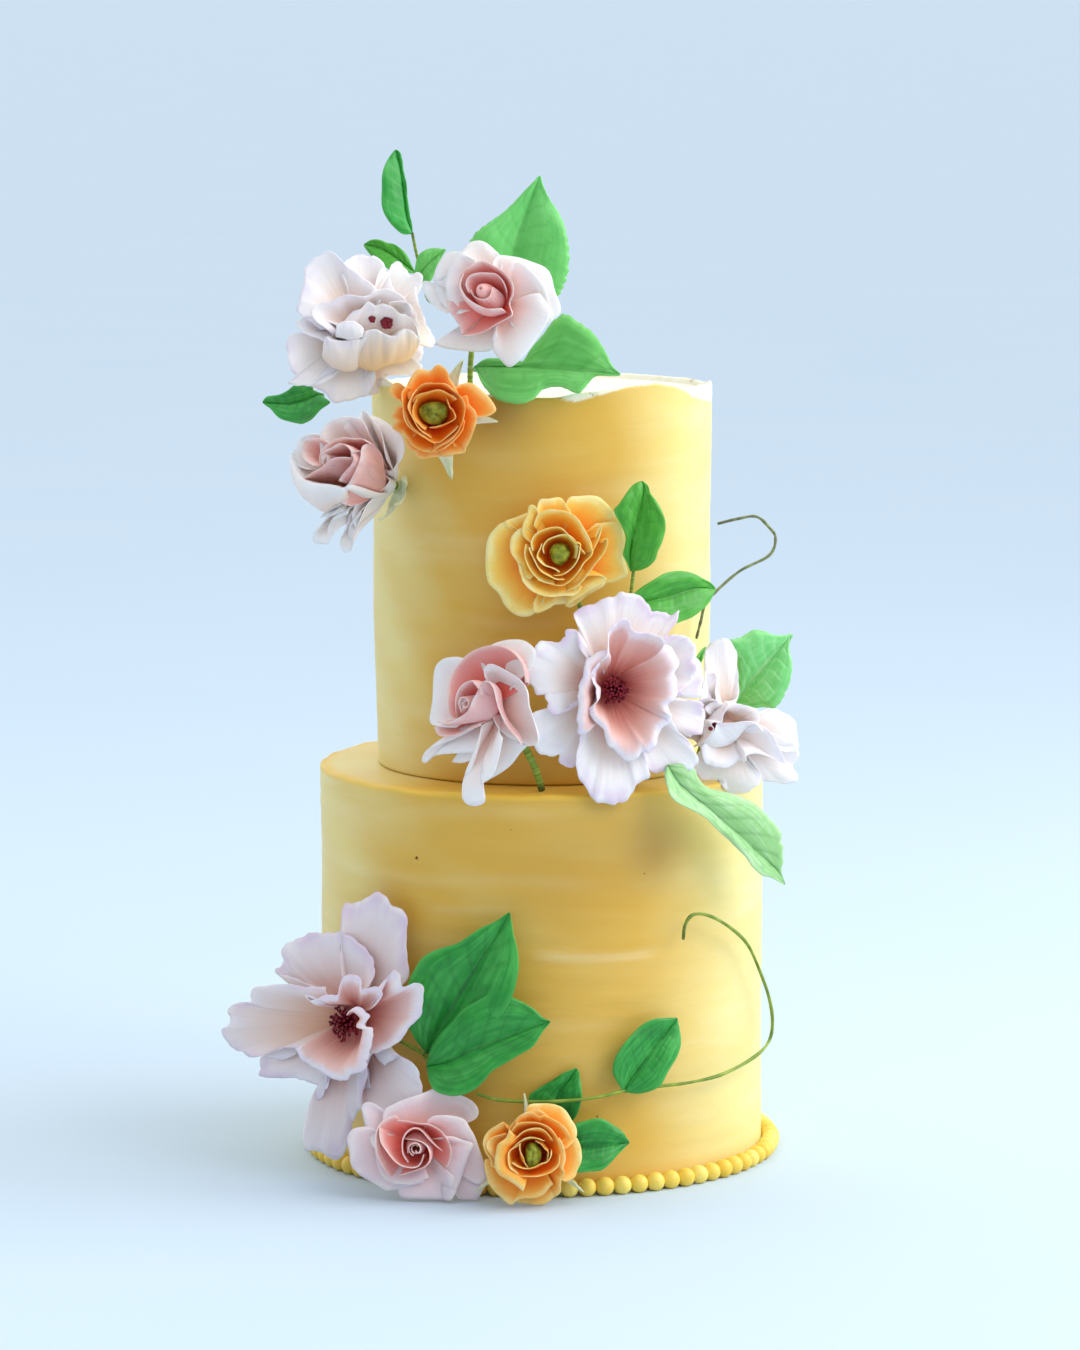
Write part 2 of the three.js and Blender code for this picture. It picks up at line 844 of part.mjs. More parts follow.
// The vine that runs from the spray round the front and curls up to the right.
addPiece(
  "base_vine",
  wire(
    [
      [-30, -117, 50],
      [-19, -117, 47],
      [2, -116, 46],
      [24, -112, 47],
      [39, -105, 49],
      [55, -96, 49],
      [69, -88, 49],
      [84, -75, 50],
      [99, -53, 53],
      [107, -36, 57],
      [109, -33, 66],
      [107, -38, 79],
      [102, -48, 94],
      [96, -58, 108],
      [88, -71, 118],
      [78, -83, 126],
      [70, -89, 128],
      [66, -92, 124],
      [65, -92, 117],
    ],
    1.6,
    4,
    30,
  ),
  "stem",
  0.6,
);

export default root;
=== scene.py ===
"""The looks of a tall iced cake with a pearl border and three sprays of sugar flowers.

Shapes are worked out in millimetres in the cake's own frame (+Z up, front to -Y) and become metres
where a mesh is made. A flower's own frame has Z along its axis, X to the viewer's right and Y up.
"""

import math

import bpy
import numpy as np
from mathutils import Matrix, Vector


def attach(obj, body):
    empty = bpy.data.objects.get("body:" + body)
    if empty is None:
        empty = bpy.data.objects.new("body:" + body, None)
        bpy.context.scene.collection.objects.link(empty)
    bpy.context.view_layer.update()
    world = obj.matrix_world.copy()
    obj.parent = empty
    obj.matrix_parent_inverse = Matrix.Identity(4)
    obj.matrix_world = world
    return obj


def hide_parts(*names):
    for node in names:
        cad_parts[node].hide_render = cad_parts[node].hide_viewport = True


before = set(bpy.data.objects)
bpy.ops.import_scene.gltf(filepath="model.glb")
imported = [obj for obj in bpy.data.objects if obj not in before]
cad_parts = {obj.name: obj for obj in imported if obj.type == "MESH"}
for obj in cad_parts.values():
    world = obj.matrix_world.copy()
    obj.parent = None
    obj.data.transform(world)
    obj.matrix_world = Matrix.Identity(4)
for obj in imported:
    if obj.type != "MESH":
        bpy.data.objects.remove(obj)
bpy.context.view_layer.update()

MM = 0.001

# The camera that was fitted to the ellipses of both rims and the foot in the photograph, in millimetres
PHOTO_WIDTH, PHOTO_HEIGHT = 1080, 1350
SENSOR, LENS = 36.0, 138.2
CAMERA_PLACE = (-0.88, -2437.0, 562.0)
CAMERA_DIP = 0.1366  # how far it looks down, in radians


LOWER_RADIUS = 105.0
LOWER_TOP = 186.0
UPPER_RADIUS = 80.0
UPPER_FOOT = 186.4
UPPER_TAPER = 2.2
TOP = 366.0
LIP_HEIGHT = 4.5
PEARL_RADIUS = 4.4
PEARL_COUNT = 82
PEARL_RING_RADIUS = 109.8
PETAL_THICKNESS = 0.8
PEONY_THICKNESS = 0.6
LEAF_THICKNESS = 0.9
PIXEL = 0.4746  # what one of the photograph's pixels shows at the cake's axis
MARGIN = 0.3  # the least half-width of a leaf
CORE_HEIGHT = 16.0  # where a flower's core is given, above its foot


# Small shared sums


def unit(vectors):
    return vectors / (np.linalg.norm(vectors, axis=-1, keepdims=True) + 1e-12)


def smooth(share):
    share = np.clip(share, 0, 1)
    return share * share * (3 - 2 * share)


def waves(seed, *axes, count=4, low=1.0, high=4.0):
    """A smooth wandering value, mostly within -1 to 1, over the axes."""
    rng = np.random.default_rng(seed)
    total = 0.0
    for _ in range(count):
        rates = rng.uniform(low, high, len(axes)) * rng.choice([-1, 1], len(axes))
        phase = rng.uniform(0, 2 * math.pi)
        total = total + np.sin(sum(rate * axis for rate, axis in zip(rates, axes)) + phase)
    return total / count * 1.4


def curve(points, steps):
    """Points along a smooth curve through the given ones."""
    given = np.asarray(points, float)
    given = np.vstack([2 * given[0] - given[1], given, 2 * given[-1] - given[-2]])
    place = np.linspace(0, len(points) - 1 - 1e-9, steps)
    before = place.astype(int)
    t = (place - before)[:, None]
    a, b, c, d = (given[before + i] for i in range(4))
    return 0.5 * (2 * b + (c - a) * t + (2 * a - 5 * b + 4 * c - d) * t**2 + (3 * b - a - 3 * c + d) * t**3)


def clear(points, room):
    """Moves points that are nearer than room to the cake, its pearls or the floor out to that room."""
    x, y, z = points[..., 0], points[..., 1], points[..., 2]
    np.maximum(z, room, out=z)
    first_reach = np.hypot(x, y)
    walls = (
        (PEARL_RING_RADIUS + PEARL_RADIUS, 2 * PEARL_RADIUS, LOWER_RADIUS),
        (LOWER_RADIUS, LOWER_TOP, UPPER_RADIUS),
        (UPPER_RADIUS, TOP + LIP_HEIGHT, 0.0),
    )
    for radius, top, narrowest in walls:
        reach = np.hypot(x, y)
        sideways = radius + room - reach
        upward = top + room - z
        inside = (sideways > 0) & (upward > 0)
        lifted = inside & (upward < sideways) & (first_reach > narrowest)
        pushed = inside & ~lifted
        z[lifted] += upward[lifted]
        grow = 1 + sideways[pushed] / np.maximum(reach[pushed], 1e-6)
        x[pushed] *= grow
        y[pushed] *= grow
    return points


class Frame:
    """Where a flower sits and where it faces: yaw to the viewer's right and pitch up, in degrees. Its petals are
    read in a window of the photograph: corner is the window's left top corner in the photograph's pixels, and
    enlarged is how many window pixels one of those is."""

    def __init__(self, place, yaw, pitch, corner=(0, 0), enlarged=1.0):
        yaw, pitch = math.radians(yaw), math.radians(pitch)
        out = np.array([math.sin(yaw) * math.cos(pitch), -math.cos(yaw) * math.cos(pitch), math.sin(pitch)])
        right = unit(np.cross([0, 0, 1], out))
        self.axes = np.array([right, np.cross(out, right), out])
        self.place = np.array(place, float)
        self.corner, self.enlarged = corner, enlarged

    def world(self, points):
        return points @ self.axes + self.place

    def seen(self, spots, heights):
        """Points in the flower's own frame that the camera sees at spots of the window. heights are how far they
        stand above the flower's foot, from the first spot to the last."""
        x, y = (np.array(spots, float) / self.enlarged + self.corner).T
        focal = LENS / SENSOR * PHOTO_HEIGHT
        sideways, up = (x - PHOTO_WIDTH / 2) / focal, (PHOTO_HEIGHT / 2 - y) / focal
        dip, rise = math.cos(CAMERA_DIP), math.sin(CAMERA_DIP)
        ray = np.stack([sideways, dip + up * rise, up * dip - rise], -1)
        heights = np.interp(np.linspace(0, 1, len(x)), np.linspace(0, 1, len(heights)), heights)
        reach = ((self.place - CAMERA_PLACE) @ self.axes[2] + heights) / (ray @ self.axes[2])
        return (CAMERA_PLACE + reach[:, None] * ray - self.place) @ self.axes.T

    def centre(self, x, y, height):
        """Where the core is at CORE_HEIGHT, from the window's spot that shows it at a height."""
        return self.seen([(x, y)], [height])[0][:2] * CORE_HEIGHT / height


# Meshes


class Piece:
    """Gathers closed sheets, tubes and solids of revolution, and makes one object of them."""

    FIELDS = ("along", "across", "rim", "inner", "seed", "tint", "shade")

    def __init__(self):
        self.points = []
        self.faces = []
        self.fields = {name: [] for name in self.FIELDS}
        self.count = 0

    def add(self, points, faces, **fields):
        self.points.append(points)
        for block in faces:
            self.faces.extend((np.asarray(block) + self.count).tolist())
        for name in self.FIELDS:
            self.fields[name].append(np.broadcast_to(fields.get(name, 0.0), len(points)).astype(np.float32))
        self.count += len(points)

    def sheet(self, grid, thickness, **fields):
        """A thin closed sheet round the middle surface grid, thinner towards its free margin."""
        rows, columns = grid.shape[:2]
        normal = unit(np.cross(np.gradient(grid, axis=0), np.gradient(grid, axis=1)))
        row, column = np.arange(rows)[:, None], np.arange(columns)[None, :]
        inset = np.minimum(np.minimum(column, columns - 1 - column), rows - 1 - row)
        half = normal * (thickness / 2 * (0.4 + 0.6 * smooth(inset / 3)))[..., None]
        index = np.arange(rows * columns).reshape(rows, columns)
        back = rows * columns
        a, b, c, d = index[:-1, :-1], index[1:, :-1], index[1:, 1:], index[:-1, 1:]
        front_faces = np.stack([a, b, c, d], -1).reshape(-1, 4)
        edges = np.vstack(
            [
                np.stack([index[:-1, 0], index[1:, 0]], -1),
                np.stack([index[-1, :-1], index[-1, 1:]], -1),
                np.stack([index[1:, -1], index[:-1, -1]], -1),
                np.stack([index[0, 1:], index[0, :-1]], -1),
            ]
        )
        p, q = edges[:, 0], edges[:, 1]
        walls = np.stack([q, p, p + back, q + back], -1)
        both = {
            name: np.tile(np.broadcast_to(value, (rows, columns)).ravel(), 2) for name, value in fields.items()
        }
        both["inner"] = np.repeat([1.0, 0.0], back)
        self.add(
            np.vstack([(grid + half).reshape(-1, 3), (grid - half).reshape(-1, 3)]),
            [front_faces, front_faces[:, ::-1] + back, walls],
            **both,
        )

    def tube(self, path, radius, sides=10, **fields):
        """A round tube along a path, closed by a point at each end."""
        steps = len(path)
        radius = np.broadcast_to(radius, steps)
        forward = unit(np.gradient(path, axis=0))
        side = np.empty_like(path)
        previous = unit(np.cross(forward[0], [0.3, 0.2, 0.93]))
        for i in range(steps):
            previous = unit(previous - forward[i] * (previous @ forward[i]))
            side[i] = previous
        up = np.cross(forward, side)
        turn = np.arange(sides) * 2 * math.pi / sides
        ring = side[:, None] * np.cos(turn)[:, None] + up[:, None] * np.sin(turn)[:, None]
        body = (path[:, None] + ring * radius[:, None, None]).reshape(-1, 3)
        tips = np.array([path[0] - forward[0] * radius[0] * 0.5, path[-1] + forward[-1] * radius[-1] * 0.5])
        index = np.arange(steps * sides).reshape(steps, sides)
        beside = np.roll(index, -1, axis=1)
        sleeve = np.stack([index[:-1], beside[:-1], beside[1:], index[1:]], -1).reshape(-1, 4)
        first, last = steps * sides, steps * sides + 1
        start = np.stack([beside[0], index[0], np.full(sides, first)], -1)
        end = np.stack([index[-1], beside[-1], np.full(sides, last)], -1)
        along = np.concatenate([np.repeat(np.linspace(0, 1, steps), sides), [0, 1]])
        self.add(np.vstack([body, tips]), [sleeve, start, end], **{"along": along, **fields})

    def turned(self, grid, frame_of=None, **fields):
        """A closed surface from rings of points, bottom first. The first and last rings are single points."""
        rings, sides = grid.shape[:2]
        points = np.vstack([grid[0, :1], grid[1:-1].reshape(-1, 3), grid[-1, :1]])
        index = np.arange((rings - 2) * sides).reshape(rings - 2, sides) + 1
        beside = np.roll(index, -1, axis=1)
        last = len(points) - 1
        sleeve = np.stack([index[:-1], beside[:-1], beside[1:], index[1:]], -1).reshape(-1, 4)
        start = np.stack([beside[0], index[0], np.zeros(sides, int)], -1)
        end = np.stack([index[-1], beside[-1], np.full(sides, last)], -1)
        spread = {}
        for name, value in fields.items():
            value = np.broadcast_to(value, (rings, sides))
            spread[name] = np.concatenate([value[0, :1], value[1:-1].ravel(), value[-1, :1]])
        self.add(frame_of.world(points) if frame_of else points, [sleeve, start, end], **spread)

    def build(self, name, material, slot, *nodes):
        mesh = bpy.data.meshes.new(name)
        mesh.from_pydata((np.vstack(self.points) * MM).tolist(), [], self.faces)
        for field in self.FIELDS:
            layer = mesh.attributes.new(field, "FLOAT", "POINT")
            layer.data.foreach_set("value", np.concatenate(self.fields[field]))
        mesh.shade_smooth()
        mesh.materials.append(material)
        mesh.update()
        piece = bpy.data.objects.new(name, mesh)
        bpy.context.scene.collection.objects.link(piece)
        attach(piece, "root")
        if nodes:
            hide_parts(*nodes)
        return piece


def rings(profile, sides):
    """A grid of points for [radius, height] pairs turned about Z."""
    turn = np.arange(sides) * 2 * math.pi / sides
    radius, height = np.asarray(profile, float).T
    shape = (len(radius), sides)
    return np.stack(
        [
            radius[:, None] * np.cos(turn),
            radius[:, None] * np.sin(turn),
            np.broadcast_to(height[:, None], shape),
        ],
        -1,
    ), np.broadcast_to(turn, shape)


# Materials


def linear(colour):
    """Linear colour of red, green and blue from 0 to 255."""
    shares = [channel / 255 for channel in colour]
    return [s / 12.92 if s <= 0.04045 else ((s + 0.055) / 1.055) ** 2.4 for s in shares] + [1.0]


class Look:
    """A material made of nodes."""

    def __init__(self, name, roughness, subsurface=0.0, reach=(1.0, 0.6, 0.4), specular=0.35):
        self.material = bpy.data.materials.new(name)
        self.material.use_nodes = True
        self.tree = self.material.node_tree
        self.shader = self.tree.nodes["Principled BSDF"]
        self.shader.inputs["Roughness"].default_value = roughness
        self.shader.inputs["Specular IOR Level"].default_value = specular
        if subsurface:
            self.shader.inputs["Subsurface Weight"].default_value = subsurface
            self.shader.inputs["Subsurface Radius"].default_value = reach
            self.shader.inputs["Subsurface Scale"].default_value = 0.002

    def node(self, kind, **settings):
        made = self.tree.nodes.new(kind)
        for name, value in settings.items():
            setattr(made, name, value)
        return made

    def plug(self, socket, value):
        if isinstance(value, bpy.types.NodeSocket):
            self.tree.links.new(value, socket)
        else:
            socket.default_value = value

    def field(self, name):
        return self.node("ShaderNodeAttribute", attribute_name=name).outputs["Fac"]

    def place(self, scale=(1.0, 1.0, 1.0)):
        """Object coordinates, scaled."""
        coordinates = self.node("ShaderNodeTexCoord").outputs["Object"]
        mapping = self.node("ShaderNodeMapping")
        self.plug(mapping.inputs["Vector"], coordinates)
        mapping.inputs["Scale"].default_value = scale
        return mapping.outputs["Vector"]

    def vector(self, x, y, z=0.0):
        made = self.node("ShaderNodeCombineXYZ")
        for socket, value in zip(made.inputs, (x, y, z)):
            self.plug(socket, value)
        return made.outputs[0]

    def maths(self, operation, a, b=0.0, clamp=False):
        made = self.node("ShaderNodeMath", operation=operation, use_clamp=clamp)
        self.plug(made.inputs[0], a)
        self.plug(made.inputs[1], b)
        return made.outputs[0]

    def noise(self, vector, scale, detail=3.0, roughness=0.5, distortion=0.0):
        made = self.node("ShaderNodeTexNoise")
        self.plug(made.inputs["Vector"], vector)
        made.inputs["Scale"].default_value = scale
        made.inputs["Detail"].default_value = detail
        made.inputs["Roughness"].default_value = roughness
        made.inputs["Distortion"].default_value = distortion
        return made.outputs["Fac"]

    def span(self, value, low, high, to_low=0.0, to_high=1.0):
        made = self.node("ShaderNodeMapRange", interpolation_type="SMOOTHSTEP")
        for socket, given in zip(made.inputs, (value, low, high, to_low, to_high)):
            self.plug(socket, given)
        return made.outputs[0]

    def ramp(self, value, *stops):
        """stops are (place, colour from 0 to 255)."""
        made = self.node("ShaderNodeValToRGB")
        elements = made.color_ramp.elements
        while len(elements) < len(stops):
            elements.new(0.5)
        for element, (place, colour) in zip(elements, stops):
            element.position = place
            element.color = linear(colour)
        self.plug(made.inputs[0], value)
        return made.outputs["Color"]

    def mix(self, share, a, b, blend="MIX"):
        made = self.node("ShaderNodeMix", data_type="RGBA", blend_type=blend)
        self.plug(made.inputs["Factor"], share)
        for socket, value in ((made.inputs[6], a), (made.inputs[7], b)):
            self.plug(socket, linear(value) if isinstance(value, tuple) else value)
        return made.outputs[2]

    def colour(self, value):
        self.plug(self.shader.inputs["Base Color"], value)

    def bump(self, height, distance, strength=1.0):
        made = self.node("ShaderNodeBump")
        made.inputs["Strength"].default_value = strength
        made.inputs["Distance"].default_value = distance
        self.plug(made.inputs["Height"], height)
        if self.shader.inputs["Normal"].is_linked:
            self.plug(made.inputs["Normal"], self.shader.inputs["Normal"].links[0].from_socket)
        self.plug(self.shader.inputs["Normal"], made.outputs[0])


def petal_look(name, stops, back, edge_tint, blush, painted_glow, roughness=0.5, veins=0.25, subsurface=0.25):
    """Sugar paste petals: a ramp from the foot to the rim, fine lengthwise streaks, a tinted rim, and a painted warm
    glow towards the foot where the mesh's tint field says.
    """
    look = Look(name, roughness, subsurface)
    rim, along, across = look.field("rim"), look.field("along"), look.field("across")
    seed, inner, tint = look.field("seed"), look.field("inner"), look.field("tint")
    flow = look.vector(look.maths("MULTIPLY", across, 9.0), along, seed)
    streaks = look.noise(flow, 2.2, 4.0, 0.62)
    patches = look.noise(look.vector(across, along, seed), 2.6, 2.0)
    shifted = look.maths("ADD", rim, look.maths("MULTIPLY", look.maths("SUBTRACT", streaks, 0.5), 0.22))
    face = look.ramp(shifted, *stops)
    colour = look.mix(look.maths("SUBTRACT", 1.0, inner), face, back)
    lined = look.maths("MULTIPLY", look.span(streaks, 0.5, 0.72), veins)
    colour = look.mix(lined, colour, blush)
    at_edge = look.maths("MULTIPLY", look.span(rim, 0.8, 1.0), look.span(patches, 0.42, 0.62))
    colour = look.mix(at_edge, colour, edge_tint)
    # Painted light: tint mixes in the warm glow colour, which stands in for warm light on the petal.
    colour = look.mix(tint, colour, painted_glow)
    look.colour(colour)
    look.bump(streaks, 0.0005, 0.35)
    look.bump(look.noise(look.place(), 900.0, 2.0), 0.0001, 0.3)
    return look.material


def leaf_look(name, dark, middle, light, vein, roughness=0.42):
    """Green sugar leaves: brushed mottling, a lighter margin, and veins drawn by the mesh."""
    look = Look(name, roughness, 0.12, specular=0.4)
    seed = look.field("seed")
    mottle = look.noise(look.place((1.0, 1.0, 1.0)), 55.0, 3.0, 0.55, 0.6)
    brushed = look.noise(look.vector(look.maths("MULTIPLY", look.field("across"), 3.0), look.field("along"), seed), 3.2)
    share = look.maths("ADD", look.maths("MULTIPLY", mottle, 0.5), look.maths("MULTIPLY", brushed, 0.5))
    colour = look.ramp(share, (0.3, dark), (0.5, middle), (0.74, light))
    colour = look.mix(look.maths("MULTIPLY", look.span(look.field("rim"), 0.84, 1.0), 0.45), colour, light)
    colour = look.mix(look.maths("MULTIPLY", look.maths("SUBTRACT", 1.0, look.field("inner")), 0.35), colour, light)
    colour = look.mix(look.field("tint"), colour, vein)
    look.colour(colour)
    look.bump(look.noise(look.place(), 700.0, 3.0), 0.00012, 0.5)
    return look.material


def icing_look():
    """Yellow buttercream brushed on in soft level streaks, cream where the lip is torn, with painted light: deeper
    golden in front as painted shade, paler round the sides as painted sheen, a painted highlight along the lower tier's
    rim and painted shadows under the sprays. The mesh says how pale (along, the painted sheen), where strokes are
    (tint), where the painted rim highlight is (across), where the painted shadows are (shade) and where it is cream
    (inner)."""
    look = Look("icing", 0.5, 0.12, (1.0, 0.7, 0.3), specular=0.4)
    level = look.noise(look.place((1.0, 1.0, 5.0)), 16.0, 4.0, 0.55, 0.4)
    broad = look.noise(look.place((1.0, 1.0, 1.6)), 7.0, 2.0, 0.5, 0.8)
    fine = look.noise(look.place((1.0, 1.0, 9.0)), 60.0, 3.0, 0.6)
    share = look.maths("ADD", look.maths("MULTIPLY", level, 0.55), look.maths("MULTIPLY", broad, 0.45))
    share = look.maths("ADD", share, look.maths("MULTIPLY", look.maths("SUBTRACT", fine, 0.5), 0.12))
    golden = look.ramp(share, (0.3, (225, 174, 62)), (0.5, (224, 177, 72)), (0.72, (227, 187, 90)))
    pale = look.ramp(share, (0.3, (236, 216, 128)), (0.5, (236, 220, 146)), (0.72, (240, 227, 166)))
    # Painted light: along mixes the deeper golden front, a painted shade, into the paler sides and back, a painted
    # sheen.
    colour = look.mix(look.field("along"), golden, pale)
    colour = look.mix(look.maths("MULTIPLY", look.field("tint"), 0.4), colour, (246, 230, 180))
    # A painted highlight: across paints a brighter yellow along the lower tier's rounded rim.
    colour = look.mix(look.maths("MULTIPLY", look.field("across"), 0.7), colour, (240, 196, 72))
    # Painted shadow: shade darkens the icing to a brown where the shadows of the sprays fall.
    colour = look.mix(look.field("shade"), colour, (158, 120, 52))
    cream = look.ramp(look.noise(look.place(), 90.0, 3.0), (0.35, (243, 232, 200)), (0.65, (250, 246, 230)))
    flecks = look.maths(
        "MULTIPLY", look.field("rim"), look.span(look.noise(look.place(), 170.0, 3.0, 0.6), 0.56, 0.66)
    )
    cream = look.mix(flecks, cream, (166, 120, 58))
    colour = look.mix(look.field("inner"), colour, cream)
    look.colour(colour)
    look.bump(level, 0.0012, 0.25)
    look.bump(look.noise(look.place((1.0, 1.0, 3.0)), 220.0, 3.0), 0.0002, 0.35)
    return look.material


def pearl_look():
    look = Look("pearl", 0.42, 0.2, (1.0, 0.7, 0.3), specular=0.4)
    spots = look.noise(look.place(), 240.0, 2.0)
    shade = look.maths("ADD", look.maths("MULTIPLY", look.field("seed"), 0.6), look.maths("MULTIPLY", spots, 0.4))
    look.colour(look.ramp(shade, (0.2, (238, 200, 72)), (0.8, (248, 224, 116))))
    look.bump(look.noise(look.place(), 500.0, 3.0), 0.00015, 0.4)
    return look.material


def stem_look(name, dark, light, roughness=0.5):
    """Floral tape wound round a wire: slanting wraps, darker towards the ends."""
    look = Look(name, roughness)
    along, across = look.field("along"), look.field("across")
    wraps = look.noise(look.vector(along, across, look.field("seed")), 26.0, 2.0)
    colour = look.ramp(wraps, (0.38, dark), (0.62, light))
    look.colour(look.mix(look.field("tint"), colour, (52, 48, 30)))
    look.bump(wraps, 0.0004, 0.5)
    return look.material


def plain_look(name, dark, light, scale, roughness, depth=0.0002, specular=0.35):
    """A mottled colour with a fine grain."""
    look = Look(name, roughness, specular=specular)
    mottle = look.noise(look.place(), scale, 3.0)
    colour = look.ramp(mottle, (0.36, dark), (0.64, light))
    look.colour(look.mix(look.field("tint"), colour, light))
    look.bump(look.noise(look.place(), scale * 3, 3.0), depth, 0.5)
    return look.material


ICING = icing_look()
PEARL = pearl_look()
# The last colour given to each petal look is its painted warm glow, used where a petal's tint asks for it.
ROSE = petal_look(
    "rose_petal",
    ((0.0, (214, 66, 52)), (0.35, (240, 118, 104)), (0.62, (248, 158, 148)), (0.86, (248, 190, 184)), (1.0, (250, 214, 208))),
    (247, 194, 190),
    (250, 222, 218),
    (236, 156, 150),
    (232, 150, 120),
    veins=0.2,
)
OUTER_ROSE = petal_look(
    "outer_rose_petal",
    ((0.0, (232, 160, 140)), (0.3, (244, 208, 196)), (0.6, (247, 229, 225)), (1.0, (250, 244, 243))),
    (247, 238, 236),
    (253, 249, 248),
    (244, 214, 208),
    (214, 190, 150),
    veins=0.2,
)
PINK_ROSE = petal_look(
    "pink_rose_petal",
    ((0.0, (224, 140, 124)), (0.3, (236, 188, 180)), (0.6, (236, 207, 209)), (1.0, (238, 221, 228))),
    (240, 218, 220),
    (246, 232, 232),
    (232, 190, 188),
    (214, 190, 150),
    veins=0.2,
)
PEONY = petal_look(
    "peony_petal",
    ((0.0, (190, 100, 96)), (0.22, (230, 178, 160)), (0.5, (244, 222, 212)), (0.75, (248, 238, 236)), (1.0, (251, 247, 250))),
    (248, 240, 242),
    (234, 212, 232),
    (238, 210, 208),
    (244, 186, 118),
    veins=0.35,
)
PALE_PEONY = petal_look(
    "pale_peony_petal",
    ((0.0, (226, 186, 168)), (0.3, (240, 217, 205)), (0.6, (246, 233, 229)), (1.0, (249, 245, 249))),
    (248, 241, 243),
    (242, 230, 240),
    (240, 214, 208),
    (240, 186, 112),
    veins=0.35,
)
GREY_PEONY = petal_look(
    "grey_peony_petal",
    ((0.0, (184, 104, 100)), (0.22, (216, 172, 158)), (0.5, (228, 204, 200)), (0.75, (233, 218, 220)), (1.0, (238, 230, 236))),
    (234, 224, 228),
    (222, 202, 222),
    (224, 196, 196),
    (226, 178, 120),
    veins=0.35,
)
CUP = petal_look(
    "peony_cup_petal",
    ((0.0, (170, 60, 60)), (0.2, (214, 124, 110)), (0.5, (232, 172, 158)), (0.78, (238, 196, 190)), (0.94, (248, 236, 240))),
    (248, 240, 243),
    (240, 222, 238),
    (236, 184, 176),
    (196, 120, 110),
    veins=0.35,
)
RANUNCULUS = petal_look(
    "ranunculus_petal",
    ((0.0, (222, 50, 4)), (0.35, (242, 96, 12)), (0.68, (250, 134, 26)), (0.88, (252, 160, 56)), (1.0, (255, 190, 108))),
    (248, 140, 40),
    (255, 200, 124),
    (240, 110, 24),
    (250, 196, 110),
    veins=0.22,
)
GOLD_RANUNCULUS = petal_look(
    "gold_ranunculus_petal",
    ((0.0, (232, 70, 6)), (0.35, (250, 132, 22)), (0.66, (255, 176, 52)), (0.86, (255, 206, 92)), (1.0, (255, 230, 150))),
    (255, 196, 78),
    (255, 236, 164),
    (248, 150, 40),
    (255, 216, 120),
    veins=0.22,
)
DEEP_RANUNCULUS = petal_look(
    "deep_ranunculus_petal",
    ((0.0, (222, 60, 4)), (0.35, (246, 112, 16)), (0.66, (252, 152, 40)), (0.86, (253, 184, 78)), (1.0, (255, 214, 132))),
    (252, 172, 64),
    (255, 222, 150),
    (244, 132, 32),
    (252, 206, 116),
    veins=0.22,
)
LEAF = leaf_look("leaf", (80, 166, 70), (99, 187, 88), (132, 206, 118), (74, 150, 62))
BRIGHT_LEAF = leaf_look("bright_leaf", (90, 182, 88), (107, 199, 103), (132, 214, 126), (80, 168, 76))
TALL_LEAF = leaf_look("tall_leaf", (34, 134, 46), (47, 157, 59), (80, 184, 88), (34, 122, 42))
FRESH_LEAF = leaf_look("fresh_leaf", (50, 136, 30), (69, 162, 43), (108, 190, 78), (42, 118, 28))
DEEP_LEAF = leaf_look("deep_leaf", (18, 112, 40), (40, 148, 56), (82, 186, 84), (10, 84, 28))
PALE_LEAF = leaf_look("pale_leaf", (96, 190, 98), (117, 206, 117), (156, 224, 154), (204, 236, 198))
DARK_VEIN_LEAF = leaf_look("dark_vein_leaf", (124, 182, 100), (147, 198, 128), (194, 222, 182), (58, 126, 58))
STEM = stem_look("stem", (98, 126, 34), (150, 172, 62))
WIRE = stem_look("wire", (100, 108, 78), (140, 150, 100))
STAMEN = plain_look("stamen", (84, 8, 20), (140, 24, 48), 900.0, 0.45)
EYE = plain_look("green_eye", (84, 88, 12), (168, 174, 52), 320.0, 0.5)
CALYX = plain_look("calyx", (186, 196, 140), (230, 234, 200), 160.0, 0.5)


# Petals. Each maker gives a grid of points in the flower's own frame and the fields its look reads.


def middle_line(lean, length, along):
    """How far out and up a petal's middle line has got, and how far it leans out from the axis there."""
    steps = np.linspace(0, 1, 65)
    angle = np.radians(np.interp(steps, np.linspace(0, 1, len(lean)), lean))

    def summed(rate):
        return np.concatenate([[0], np.cumsum((rate[1:] + rate[:-1]) / 2)]) * length / 64

    return (
        np.interp(along, steps, summed(np.sin(angle))),
        np.interp(along, steps, summed(np.cos(angle))),
        np.interp(along, steps, angle),
    )


